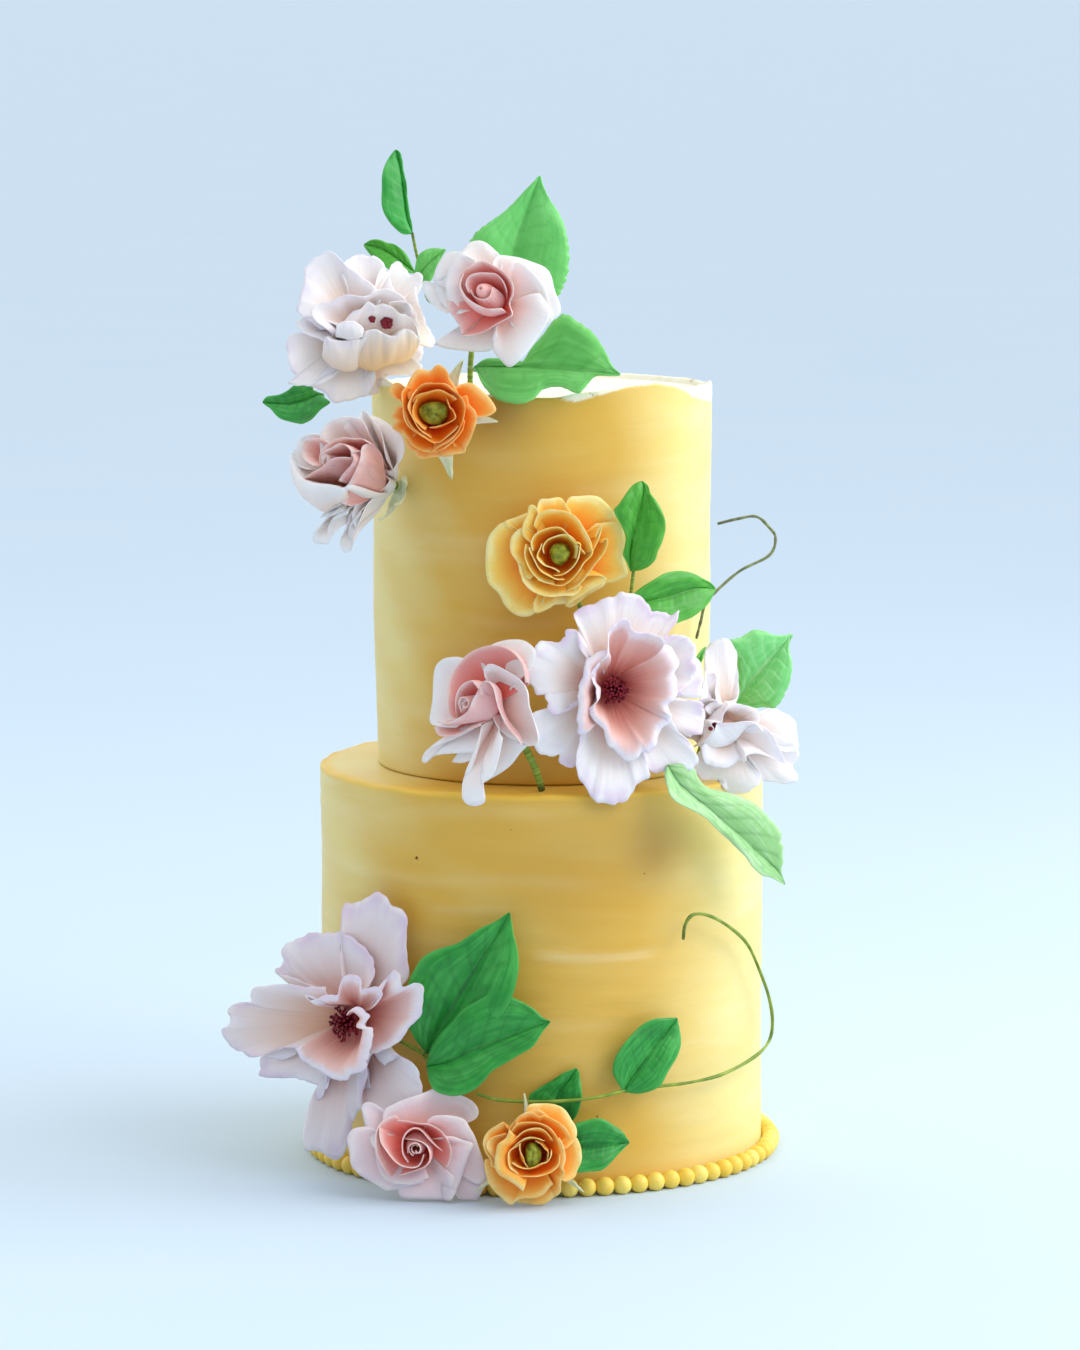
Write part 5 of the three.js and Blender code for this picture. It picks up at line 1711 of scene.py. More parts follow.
add_leaf(
    "crown_leaf_left",
    (-98, -12, 360),
    (-131, -22, 359),
    (0, -1, 0.4),
    ((255, 370), 17.42),
    [
        (1190, 430), (1230, 500), (1305, 560), (1150, 680), (1000, 830), (850, 910), (780, 925), (600, 900),
        (450, 840), (330, 730), (270, 660), (180, 600), (135, 560),
    ],
    [
        (1190, 430), (1060, 450), (950, 490), (860, 530), (720, 570), (560, 600), (300, 580), (135, 560),
    ],
    [
        (1190, 430), (1090, 390), (1000, 330), (1020, 230), (1005, 170), (900, 245), (790, 260), (680, 275),
        (560, 370), (430, 440), (300, 460), (200, 480), (135, 560),
    ],
    fold=(26, 10), look=DEEP_LEAF, wave=0.5, seed=6,
)
# END crown
add_stem("crown_leaf_tall_stem", [(-60.6, -9.8, 437), (-58.4, -9, 426), (-55, -9, 413)], 1.4)
add_stem("crown_rose_stem", [(-30, -56, 400), (-32, -55, 388), (-33, -54, 376), (-33, -54, 363.4)], 2.6, ends=(0, 0.5))

# Spray in the middle

# TABLE MIDDLE_RANUNCULUS
MIDDLE_RANUNCULUS_PETALS = (
    ("first top", (46, 6), 0.8, [
        (612, 690), (600, 640), (640, 580), (722, 545), (792, 545), (852, 590), (882, 650), (870, 730),
    ], (12, 13, 13.5, 13, 12)),
    ("first left", (60, 0), 0.8, [
        (600, 610), (560, 700), (600, 762), (662, 805), (740, 830),
    ], (13, 13.5, 13, 12)),
    ("tip a", (66, -14), 0.3, [
        (880, 600), (905, 625), (895, 700), (860, 770), (820, 830), (760, 860), (690, 870),
    ], (14, 14.5, 13.5, 12)),
    ("second left", (66, -4), 0.7, [
        (500, 640), (520, 720), (560, 790), (620, 850), (700, 895), (780, 900),
    ], (13, 13.5, 13, 12)),
    ("second top", (60, 4), 0.7, [
        (520, 670), (512, 600), (550, 530), (622, 490), (702, 474), (765, 490), (832, 560), (905, 640),
        (945, 695),
    ], (12, 14, 14.5, 14, 12.5)),
    ("third left", (70, 10), 1, [
        (472, 615), (454, 700), (480, 790), (540, 870), (612, 912), (700, 930),
    ], (12, 12.5, 12, 11)),
    ("tip b", (74, -14), 0.4, [
        (985, 600), (1005, 690), (935, 765), (882, 850), (802, 930), (732, 952), (640, 930), (560, 905),
    ], (13, 14, 13.5, 12, 11)),
    ("third top", (66, 20), 1.4, [
        (540, 480), (570, 390), (640, 345), (712, 330), (802, 350), (882, 410), (942, 500), (988, 600),
        (995, 685),
    ], (11, 13, 13.5, 13, 12)),
    ("tip c", (76, 0), 0.5, [
        (1085, 600), (1128, 570), (1102, 680), (1032, 780), (962, 862), (890, 950), (800, 1000),
    ], (11.5, 12, 12, 11.5, 10)),
    ("tip d", (76, 10), 0.4, [
        (1030, 560), (1082, 458), (1062, 560), (1022, 655), (985, 720),
    ], (10.5, 11, 11, 11)),
    ("left fold", (72, 60), 1.2, [
        (560, 520), (560, 420), (555, 330), (522, 292), (490, 305), (478, 380), (440, 460), (440, 540),
        (500, 600),
    ], (9, 10.5, 11, 10.5, 9)),
    ("left", (74, 60), 1.2, [
        (480, 480), (430, 480), (352, 560), (345, 680), (400, 770), (425, 860), (500, 900),
    ], (10, 9.5, 9, 9.5, 10)),
    ("low left", (76, 30), 0.9, [
        (410, 780), (420, 850), (452, 922), (532, 992), (642, 1032), (762, 1034), (865, 1030), (920, 960),
    ], (10, 10.5, 10.5, 10, 9)),
    ("outer left", (80, 88), 0.5, [
        (420, 520), (282, 432), (190, 500), (150, 562), (132, 650), (128, 800), (150, 930), (232, 1012),
        (282, 1112), (352, 1182), (432, 1212), (522, 1192), (600, 1100),
    ], (6, 3, 2, 1.5, 1.5, 2.5, 5)),
    ("outer top left", (78, 84), 0.4, [
        (520, 560), (330, 480), (285, 428), (380, 390), (470, 355), (560, 330), (620, 400),
    ], (6, 4, 4, 5, 7)),
    ("top", (76, 70), 0.8, [
        (540, 420), (570, 262), (642, 240), (742, 230), (792, 290), (832, 350), (800, 430),
    ], (8, 7, 6, 6.5, 8)),
    ("top right", (80, 90), 0.5, [
        (760, 420), (808, 240), (902, 215), (1042, 215), (1122, 270), (1182, 342), (1242, 432),
        (1180, 520), (1050, 560),
    ], (6, 4, 3, 3, 5)),
    ("right", (80, 90), 0.4, [
        (1040, 440), (1240, 430), (1272, 530), (1287, 640), (1272, 720), (1302, 850), (1250, 905),
        (1130, 935), (1000, 900), (900, 840),
    ], (6, 4, 3, 3, 5)),
    ("low fold", (78, 60), 0.8, [
        (840, 1060), (862, 990), (902, 930), (962, 880), (1050, 870), (1122, 892), (1062, 950),
        (1000, 985), (902, 1045), (800, 1112),
    ], (8, 9, 9.5, 8.5, 7)),
    ("low right", (82, 90), 0.3, [
        (740, 1060), (800, 1130), (862, 1122), (962, 1042), (1100, 960), (1120, 900),
    ], (4, 3, 3, 4)),
    ("bottom", (80, 80), 0.4, [
        (520, 1100), (540, 1180), (640, 1150), (700, 1112), (782, 1102), (872, 1042), (860, 980),
    ], (6, 5, 5, 6)),
)

middle_ranunculus = Frame((7, -88, 295), 3, 2, (470, 470), 8.25)
traced_ranunculus("middle_ranunculus", middle_ranunculus, (745, 690, 10), MIDDLE_RANUNCULUS_PETALS, 5.2, 1.1, 12.0, GOLD_RANUNCULUS, 5000)
# END MIDDLE_RANUNCULUS

# TABLE MIDDLE_ROSE
MIDDLE_ROSE_HEART_PETALS = (
    ("curl", (30, 0), 0.2, [
        (232, 515), (214, 470), (230, 436), (258, 438), (266, 466), (250, 492), (238, 476),
    ], (14.5, 16, 16, 16)),
    ("hood", (60, -10), 0.5, [
        (206, 545), (198, 480), (208, 420), (240, 372), (285, 343), (310, 358), (328, 392),
    ], (11, 13.5, 15.5, 16, 16, 15.5)),
    ("front low", (84, -40), 0.4, [
        (345, 352), (322, 400), (292, 452), (270, 502), (238, 532), (190, 560), (145, 572), (95, 566),
    ], (16, 16, 16, 15.5, 15, 14, 11)),
    ("big top left", (84, -10), 0.6, [
        (215, 560), (168, 528), (158, 430), (170, 335), (212, 252), (280, 190), (370, 156), (450, 156),
        (525, 192), (575, 262), (590, 350),
    ], (11, 13, 13, 12.5, 12, 11, 9, 7)),
    ("ridge", (86, 0), 0.5, [
        (336, 420), (338, 362), (370, 345), (405, 385), (432, 480), (482, 590), (546, 668), (560, 700),
    ], (15.5, 16, 15.5, 13, 10, 7, 5)),
    ("front left low", (84, 40), 0.4, [
        (80, 600), (110, 648), (200, 645), (290, 600), (338, 590),
    ], (8, 9, 10, 11)),
)
MIDDLE_ROSE_SKIRT_PETALS = (
    ("left white", (80, 70), 0.8, [
        (200, 600), (110, 598), (55, 568), (66, 450), (76, 285), (122, 222), (200, 206), (260, 220),
    ], (8, 6.5, 6, 6, 6.5, 7)),
    ("top right", (80, 96), 0.5, [
        (340, 200), (385, 150), (430, 125), (500, 108), (580, 115), (646, 168), (640, 230), (600, 300),
    ], (5, 4, 3, 3, 3.5, 5)),
    ("right fold", (84, 30), 1.2, [
        (360, 340), (348, 292), (372, 258), (410, 255), (480, 290), (560, 338), (602, 400), (612, 480),
        (634, 560), (658, 680), (600, 705), (545, 690),
    ], (12, 12, 12, 10.5, 9, 7, 6, 4, 3, 4)),
    ("right low", (84, 100), 0.3, [
        (420, 560), (470, 640), (545, 680), (600, 700), (560, 745), (500, 820), (400, 885), (345, 900),
    ], (7, 5, 3, 2, 1.5, 2, 3)),
    ("spoon", (84, 96), 0.3, [
        (345, 620), (332, 700), (290, 830), (240, 960), (236, 1000), (262, 1034), (315, 1042), (366, 1010),
        (346, 925), (400, 880), (440, 780), (470, 660),
    ], (10, 11, 12, 13, 13.5, 13.5, 13, 12, 11, 9)),
    ("left tip", (84, 90), 0.3, [
        (330, 590), (190, 665), (65, 715), (22, 750), (12, 790), (35, 800), (75, 762), (180, 748),
        (330, 742),
    ], (9, 6.5, 5, 4, 4, 4.5, 6.5)),
    ("under", (84, 90), 0.1, [(330, 720), (250, 745), (180, 792), (240, 800), (320, 775)], (3, 2, 1, 2)),
)

middle_rose = Frame((-21, -96, 226), -40, 8, (420, 620), 5.6)
traced_rose("middle_rose", middle_rose, (240, 466, 16), 16, MIDDLE_ROSE_HEART_PETALS, MIDDLE_ROSE_SKIRT_PETALS, OUTER_ROSE, seed=6000)
# END MIDDLE_ROSE

# TABLE MIDDLE_PEONY
MIDDLE_PEONY_CUP_PETALS = (
    ("cup left", (60, 128), 0, [
        (600, 440), (510, 458), (442, 520), (440, 600), (415, 660), (388, 730), (402, 820), (388, 940),
        (398, 1018), (445, 1018), (500, 960),
    ], (19, 18, 18, 18, 17, 15)),
    ("cup top", (66, 40), 0.6, [
        (560, 520), (600, 470), (603, 335), (640, 262), (700, 232), (748, 255), (768, 320), (840, 335),
        (920, 350), (990, 385), (1005, 470),
    ], (21, 22, 21, 20, 19, 20, 22)),
    ("cup right", (60, 122), 0, [
        (985, 400), (1040, 445), (1078, 540), (1058, 610), (1078, 690), (1062, 775), (1010, 810),
        (1024, 885), (1010, 930),
    ], (21, 20, 20, 20, 19, 18)),
    ("cup bottom", (66, 130), 0, [
        (465, 840), (478, 900), (560, 975), (600, 1080), (655, 1140), (722, 1200), (800, 1192),
        (832, 1130), (880, 1142), (930, 1080), (962, 992), (1032, 940), (1030, 880),
    ], (19, 18, 17, 16, 16, 17, 19)),
    ("cup inner left", (60, 40), 0.8, [
        (560, 500), (500, 560), (492, 620), (505, 670), (535, 710), (530, 775), (500, 820), (466, 850),
    ], (19, 20, 20, 20, 19)),
)
MIDDLE_PEONY_SKIRT_PETALS = (
    ("second right", (76, 60), 1, [
        (1000, 360), (1045, 345), (1112, 352), (1180, 400), (1195, 470), (1200, 560), (1180, 640),
        (1120, 700), (1060, 740),
    ], (15, 13, 13, 13, 15)),
    ("right low", (78, 80), 0.5, [
        (1010, 900), (1100, 1020), (1150, 1060), (1212, 1170), (1190, 1250), (1080, 1272), (960, 1282),
        (880, 1262), (860, 1200), (880, 1120),
    ], (14, 13, 13, 12, 12, 12, 12)),
    ("right", (84, 84), 0.7, [
        (1040, 780), (1120, 790), (1235, 800), (1262, 880), (1240, 1000), (1140, 1032), (1060, 970),
    ], (10, 8, 7, 7, 9)),
    ("upper right", (84, 86), 0.7, [
        (1040, 640), (1140, 760), (1232, 760), (1250, 640), (1225, 520), (1190, 430), (1110, 360),
        (1020, 350),
    ], (10, 8, 6, 6, 7, 9)),
    ("top", (80, 88), 0.4, [
        (560, 560), (440, 440), (400, 300), (380, 190), (500, 130), (610, 78), (700, 45), (800, 65),
        (868, 128), (902, 180), (970, 178), (1040, 202), (1092, 178), (1072, 250), (1018, 320), (990, 420),
    ], (12, 8, 6, 5, 5, 5, 6, 9)),
    ("upper left", (80, 96), 0.4, [
        (470, 520), (398, 420), (382, 308), (312, 308), (282, 382), (200, 386), (130, 384), (98, 440),
        (60, 482), (34, 562), (50, 645), (90, 702), (122, 756), (170, 742), (182, 832), (232, 888),
        (290, 862), (340, 820), (420, 770),
    ], (13, 10, 8, 8, 8, 9, 9, 12)),
    ("low left", (82, 92), 0.4, [
        (430, 760), (300, 840), (180, 860), (92, 870), (72, 960), (112, 1040), (100, 1100), (142, 1152),
        (222, 1168), (262, 1160), (256, 1212), (320, 1238), (384, 1240), (440, 1180),
    ], (11, 8, 5, 4, 4, 5, 7)),
    ("bottom", (78, 84), 0.4, [
        (420, 1000), (390, 1120), (384, 1242), (420, 1352), (480, 1432), (502, 1482), (562, 1482),
        (640, 1497), (702, 1480), (762, 1440), (792, 1362), (852, 1332), (888, 1300), (872, 1240),
        (850, 1120),
    ], (13, 13, 13.5, 14, 14, 13.5, 13, 12)),
)

middle_peony = Frame((31, -92, 234), 12, 0, (520, 585), 6.817)
traced_peony("middle_peony", middle_peony, (660, 715, 8), MIDDLE_PEONY_CUP_PETALS, MIDDLE_PEONY_SKIRT_PETALS, CUP, PEONY, 7000, 0.75)
stamens("middle_peony", middle_peony, 60, 6.6, seed=2)
# END MIDDLE_PEONY

# TABLE SIDE_PEONY
SIDE_PEONY_SKIRT_PETALS = (
    ("upright", (80, 90), 0.5, [
        (470, 640), (432, 430), (440, 250), (482, 172), (560, 140), (622, 162), (680, 240), (692, 350),
        (692, 480), (690, 590), (600, 640),
    ], (8, 5, 3, 2, 2, 3, 6)),
    ("upright front", (70, 60), 0.8, [
        (400, 640), (420, 480), (440, 420), (500, 410), (525, 470), (520, 560), (530, 640),
    ], (12, 11, 10, 10, 12)),
    ("left", (78, 80), 0.6, [
        (330, 640), (225, 640), (182, 700), (172, 790), (202, 880), (262, 910), (340, 945), (400, 975),
        (430, 940),
    ], (12, 9, 7, 7, 8, 10)),
    ("right top", (80, 92), 0.5, [
        (760, 760), (850, 745), (955, 692), (1050, 730), (1145, 790), (1150, 900), (1162, 1000),
        (1100, 1040), (960, 1000),
    ], (8, 6, 4, 3, 3, 5, 7)),
    ("right", (82, 96), 0.4, [
        (900, 880), (1010, 900), (1160, 1000), (1162, 1100), (1130, 1160), (1152, 1222), (1110, 1282),
        (950, 1272), (850, 1240), (800, 1150),
    ], (7, 5, 3, 2, 3, 4, 6)),
    ("bottom", (78, 96), 0.4, [
        (360, 1060), (342, 1162), (402, 1252), (520, 1312), (642, 1362), (742, 1352), (822, 1302),
        (880, 1240), (820, 1120),
    ], (9, 7, 5, 4, 4, 5, 8)),
)
SIDE_PEONY_CUP_PETALS = (
    ("left inner", (60, 30), 0.8, [
        (540, 640), (440, 620), (330, 645), (280, 720), (290, 810), (350, 880), (430, 900),
    ], (16, 16, 15, 15, 16)),
    ("top", (70, 70), 1, [
        (430, 700), (500, 640), (620, 655), (735, 672), (832, 702), (862, 770), (820, 850),
    ], (15, 14, 12, 11, 11, 12)),
    ("right inner", (74, 70), 1, [
        (800, 800), (880, 830), (960, 900), (1010, 990), (1060, 1120), (1000, 1100), (900, 1060),
        (800, 1050), (720, 1080),
    ], (12, 11, 10, 9, 10, 12)),
    ("bottom inner", (74, 80), 1, [
        (400, 1000), (420, 1090), (480, 1150), (600, 1160), (700, 1110), (745, 1105), (760, 1040),
    ], (14, 13, 12, 12, 14)),
    ("over left", (80, -40), 0.4, [
        (620, 680), (580, 760), (560, 800), (525, 802), (500, 800), (480, 822), (500, 850), (480, 900),
        (420, 960), (380, 990),
    ], (18, 20, 21.5, 22, 21.5, 20, 17), {"centre": (640, 830, 20), "frill": 0.4, "notch": 0.2}),
    ("over right", (84, -50), 0.4, [
        (400, 960), (440, 900), (485, 868), (512, 838), (532, 815), (560, 812), (640, 800), (740, 790),
        (820, 810), (880, 870),
    ], (15, 18, 20, 20.5, 20, 18, 15), {"centre": (480, 720, 20), "frill": 0.4, "notch": 0.2}),
)

side_peony = Frame((84, -60, 211), 16, -2, (650, 620), 7.8375)
traced_peony("side_peony", side_peony, (500, 812, 18), SIDE_PEONY_CUP_PETALS, SIDE_PEONY_SKIRT_PETALS, PALE_PEONY, PALE_PEONY, 8000, 0.5)
stamen_spots("side_peony", side_peony, [(512, 818, 15.0, 1.3), (480, 850, 20.6, 0.8)], seed=3)
# END SIDE_PEONY

# LEAVES middle
add_leaf(
    "middle_leaf_upright",
    (42, -92, 286),
    (46, -88, 328),
    (0.2, -1, 0.1),
    RIGHT_WINDOW,
    [
        (247, 790), (215, 720), (185, 660), (200, 590), (205, 520), (180, 450), (150, 390), (118, 315),
        (150, 265), (190, 205), (250, 130), (290, 100), (325, 88),
    ],
    [
        (247, 790), (236, 690), (250, 560), (290, 400), (325, 250), (345, 150), (325, 88),
    ],
    [
        (247, 790), (310, 785), (380, 750), (430, 700), (450, 640), (480, 580), (500, 510), (510, 450),
        (500, 370), (470, 300), (430, 235), (390, 180), (370, 125), (325, 88),
    ],
    arch=3, fold=(8, 30), look=FRESH_LEAF, wave=0.9, seed=7,
)
add_leaf(
    "middle_leaf_right",
    (44, -88, 273),
    (80, -64, 276),
    (0.5, -1, 0.2),
    RIGHT_WINDOW,
    [
        (240, 1050), (250, 990), (330, 925), (400, 880), (500, 810), (590, 795), (660, 800), (740, 820),
        (800, 850), (865, 885), (905, 930),
    ],
    [
        (240, 1050), (380, 1028), (560, 985), (680, 945), (780, 925), (905, 930),
    ],
    [
        (240, 1050), (300, 1120), (400, 1180), (500, 1210), (580, 1205), (640, 1185), (720, 1150),
        (800, 1090), (850, 1040), (880, 990), (905, 930),
    ],
    arch=2, look=FRESH_LEAF, seed=8,
)
add_leaf(
    "middle_leaf_side",
    (91, -24, 222),
    (118, -20, 252),
    (0.2, -1, 0),
    SIDE_WINDOW,
    [
        (590, 1100), (600, 960), (618, 850), (575, 772), (600, 700), (592, 590), (560, 470), (498, 430),
        (495, 310), (590, 300), (690, 260), (790, 195), (920, 200), (1040, 250), (1200, 262), (1285, 240),
    ],
    [
        (590, 1100), (720, 880), (900, 660), (1060, 480), (1285, 240),
    ],
    [
        (590, 1100), (700, 1130), (830, 1160), (940, 1150), (1040, 1180), (1090, 1140), (1150, 1060),
        (1200, 950), (1240, 870), (1262, 760), (1270, 600), (1245, 480), (1240, 360), (1285, 240),
    ],
    look=PALE_LEAF, teeth=12, tooth=0.05, vein_colour=0.4, seed=9,
)
add_leaf(
    "middle_leaf_small",
    (71, -50, 238),
    (74, -44, 249),
    (0, -1, 0.2),
    SIDE_WINDOW,
    [
        (100, 640), (72, 560), (110, 495), (155, 440), (200, 405),
    ],
    [
        (100, 640), (130, 520), (200, 405),
    ],
    [
        (100, 640), (140, 580), (168, 510), (185, 450), (200, 405),
    ],
    arch=1, wave=0.3, seed=10,
)
add_leaf(
    "middle_leaf_hanging",
    (60, -98, 194),
    (113, -68, 138),
    (0.75, -1, 0.5),
    ((650, 740), 9.8),
    [
        (170, 250), (330, 230), (430, 290), (450, 350), (480, 400), (540, 460), (640, 500), (800, 530),
        (960, 590), (1060, 650), (1110, 700), (1180, 780), (1240, 850), (1285, 940), (1270, 1000),
        (1298, 1040), (1295, 1120), (1300, 1200), (1280, 1270), (1295, 1350), (1322, 1415),
    ],
    [
        (170, 250), (270, 410), (340, 480), (450, 575), (600, 690), (750, 830), (850, 910), (950, 1000),
        (1060, 1110), (1150, 1190), (1240, 1280), (1322, 1415),
    ],
    [
        (170, 250), (148, 330), (165, 420), (200, 530), (260, 600), (350, 650), (450, 700), (560, 770),
        (620, 830), (690, 900), (780, 980), (880, 1080), (950, 1150), (1000, 1230), (1060, 1290),
        (1110, 1330), (1170, 1340), (1240, 1370), (1322, 1415),
    ],
    arch=4, look=DARK_VEIN_LEAF, teeth=22, tooth=0.04, vein_colour=0.5, seed=11,
)
# END middle
add_stem("middle_ranunculus_stem", [(14, -87, 283), (18, -87, 268), (20, -88, 256)], 2.4)
add_stem("middle_leaf_upright_stem", [(42, -91.8, 290), (40.6, -90.5, 277), (39, -88, 264)], 1.6)
add_stem("middle_rose_stem", [(-9, -96, 214), (-7.5, -98, 207), (-3, -96, 197), (0, -93, 186.6)], 3.4, ends=(0.3, 0.8))
add_stem(
    "middle_tendril",
    [
        (72, -42, 250),
        (74, -42, 258),
        (76, -42, 266),
        (80, -42, 271),
        (92, -38, 281),
        (106, -34, 288),
        (109, -33, 296),
        (106, -32, 301),
        (100, -32, 306),
        (91, -33, 305),
        (82, -35, 303),
    ],
    1.4,
    look=WIRE,
    ends=(0.2, 0.5),
    swell=0.12,
    steps=160,
)

# Spray at the base

# TABLE BASE_PEONY
# Painted light: a petal's tint here is a painted warm glow, strongest at its foot.
BASE_PEONY_SKIRT_PETALS = (
    ("left long", (72, 88), 0.4, [
        (600, 560), (500, 560), (380, 542), (232, 560), (192, 600), (190, 642), (130, 646), (75, 682),
        (82, 760), (34, 802), (60, 862), (100, 912), (150, 920), (192, 946), (252, 940), (340, 900),
        (430, 900), (520, 960),
    ], (15, 14, 12, 10, 10, 10, 12, 15), {"tint": 0.4}),
    ("top left", (80, 88), 0.4, [
        (560, 560), (410, 502), (332, 492), (326, 465), (380, 420), (370, 370), (402, 320), (470, 290),
        (522, 264), (602, 265), (692, 262), (790, 320), (860, 400), (880, 500), (820, 580),
    ], (9, 7, 6, 5, 5, 6, 7, 10)),
    ("top", (82, 94), 0.4, [
        (700, 440), (690, 240), (700, 110), (742, 104), (812, 74), (892, 38), (942, 60), (982, 112),
        (1030, 140), (1052, 202), (1055, 300), (1062, 400), (1072, 500), (1010, 560), (900, 560),
    ], (6, 4, 2, 1, 1, 2, 3, 6)),
    ("low left", (80, 96), 0.4, [
        (470, 900), (380, 960), (262, 942), (245, 1000), (245, 1052), (332, 1060), (452, 1072),
        (542, 1102), (612, 1130), (640, 1060),
    ], (10, 8, 7, 7, 8, 10)),
    ("bottom", (80, 100), 0.4, [
        (620, 1050), (590, 1170), (532, 1202), (490, 1302), (488, 1450), (560, 1460), (622, 1492),
        (682, 1512), (722, 1442), (752, 1322), (782, 1252), (850, 1150), (842, 1010),
    ], (10, 7, 5, 4, 4, 5, 7, 10)),
    ("low right", (80, 90), 0.6, [
        (870, 920), (850, 960), (842, 1050), (802, 1200), (832, 1330), (880, 1480), (1000, 1420),
        (1100, 1300), (1132, 1110), (1110, 1000), (1060, 950), (1000, 950), (932, 1000),
    ], (12, 12, 12, 12, 12, 12)),
)
BASE_PEONY_CUP_PETALS = (
    ("cup right", (70, 70), 1.2, [
        (890, 620), (930, 540), (962, 478), (1002, 500), (1030, 560), (1100, 540), (1142, 562),
        (1136, 650), (1120, 722), (1060, 782), (1000, 862), (930, 902), (862, 930),
    ], (17, 18, 18, 17, 17, 17, 17)),
    ("cup top", (60, 60), 1, [
        (600, 640), (500, 592), (530, 632), (600, 612), (670, 602), (680, 560), (692, 520), (742, 500),
        (792, 520), (812, 570), (882, 560), (912, 600), (880, 660),
    ], (18, 19, 20, 20, 20, 20, 18)),
    ("cup front", (74, 118), 0, [
        (740, 700), (762, 676), (802, 674), (852, 720), (822, 772), (872, 792), (864, 872), (842, 962),
        (822, 1022), (762, 1042), (722, 1072), (652, 1066), (592, 1032), (520, 1002), (470, 960),
        (444, 900),
    ], (18, 20, 21, 21, 20, 18, 16, 15)),
)

base_peony = Frame((-86, -77, 76), -36, 2, (215, 885), 5.502)
traced_peony("base_peony", base_peony, (700, 800, 8), BASE_PEONY_CUP_PETALS, BASE_PEONY_SKIRT_PETALS, CUP, GREY_PEONY, 9000, 0.6)
stamens("base_peony", base_peony, 52, 8.6, seed=4)
# END BASE_PEONY

# TABLE BASE_ROSE
BASE_ROSE_HEART_PETALS = (
    ("curl", (30, 0), 0.2, [
        (680, 790), (683, 740), (718, 706), (765, 695), (806, 714), (818, 755), (800, 786), (770, 778),
        (762, 752),
    ], (14.5, 15.5, 16, 16, 15.5)),
    ("round right", (70, -14), 0.7, [
        (650, 640), (740, 658), (830, 688), (888, 735), (908, 800), (896, 870), (850, 930), (770, 968),
        (680, 1000), (590, 1032),
    ], (12, 14, 15.5, 16, 16, 15, 13, 11)),
    ("round low left", (78, -6), 1.2, [
        (838, 800), (815, 880), (770, 930), (700, 945), (620, 932), (565, 900), (515, 845), (465, 770),
        (418, 690), (404, 610), (402, 530),
    ], (15, 16, 15.5, 15, 14.5, 13.5, 12)),
    ("loop", (66, -6), 0.6, [
        (690, 880), (640, 800), (624, 720), (630, 630), (672, 560), (732, 525), (792, 531), (842, 575),
        (890, 640), (950, 700), (1035, 765),
    ], (13.5, 15, 15.5, 15.5, 15.5, 15, 13)),
    ("top right rim", (76, 0), 0.6, [
        (570, 452), (680, 455), (780, 470), (880, 480), (962, 510), (1040, 560), (1097, 640), (1130, 720),
        (1140, 800), (1118, 890), (1070, 960),
    ], (12, 13.5, 14.5, 14.5, 13.5, 12, 9)),
    ("left rim", (78, 10), 0.8, [
        (560, 400), (480, 415), (390, 470), (340, 560), (333, 650), (345, 740), (375, 830), (412, 910),
        (450, 980), (500, 1040),
    ], (11, 12.5, 12.5, 12, 11, 9)),
)
BASE_ROSE_SKIRT_PETALS = (
    ("top", (70, 60), 1.6, [
        (410, 520), (430, 345), (520, 280), (640, 215), (780, 165), (880, 130), (962, 106), (1100, 150),
        (1250, 185), (1370, 250), (1422, 345), (1390, 425), (1290, 470),
    ], (7, 7.5, 7.5, 7, 5, 4, 3, 2.5, 3)),
    ("right", (72, 84), 0.6, [
        (900, 430), (960, 388), (1080, 380), (1200, 396), (1290, 432), (1345, 510), (1405, 610),
        (1452, 750), (1500, 900), (1530, 1060), (1480, 1130), (1380, 1120),
    ], (11, 10.5, 9.5, 8, 6, 4.5, 3.5, 3, 3)),
    ("right front", (76, 90), 0.3, [
        (1020, 620), (1150, 610), (1260, 645), (1385, 690), (1345, 800), (1292, 950), (1235, 1120),
        (1155, 1292), (1080, 1300),
    ], (10, 9, 8, 7, 5.5, 4, 2.5)),
    ("bottom", (80, 104), 0.4, [
        (1180, 1040), (1180, 1200), (1140, 1298), (1000, 1295), (800, 1285), (620, 1272), (570, 1190),
        (600, 1080),
    ], (6, 3.5, 2, 1.5, 1.5, 2.5, 5)),
    ("behind right", (84, 92), 0.2, [
        (1400, 900), (1520, 1000), (1535, 1090), (1485, 1200), (1410, 1305), (1240, 1290), (1180, 1180),
    ], (1.5, 1, 0.5, 0, 0, 0.5)),
    ("low left", (84, 96), 0.5, [
        (240, 500), (80, 530), (24, 640), (50, 780), (62, 905), (105, 972), (165, 1032), (260, 1090),
        (345, 1142), (432, 1196), (525, 1190), (660, 1160), (860, 1108),
    ], (4, 2, 1, 1, 1, 2, 3, 5)),
    ("front low left", (78, 60), 0.8, [
        (420, 560), (330, 640), (330, 800), (380, 980), (470, 1090), (600, 1120), (760, 1110), (900, 1050),
    ], (9, 8, 7, 6.5, 6.5, 7, 8)),
    ("upper left", (80, 90), 0.6, [
        (520, 420), (430, 342), (330, 262), (235, 240), (180, 290), (208, 430), (246, 560), (280, 690),
        (340, 760),
    ], (7, 4, 3, 2.5, 3, 4, 7)),
)

base_rose = Frame((-57, -113, 26), -5, 12, (345, 1080), 10.81)
traced_rose("base_rose", base_rose, (760, 750, 16), 16, BASE_ROSE_HEART_PETALS, BASE_ROSE_SKIRT_PETALS, PINK_ROSE, seed=10000)
# END BASE_ROSE

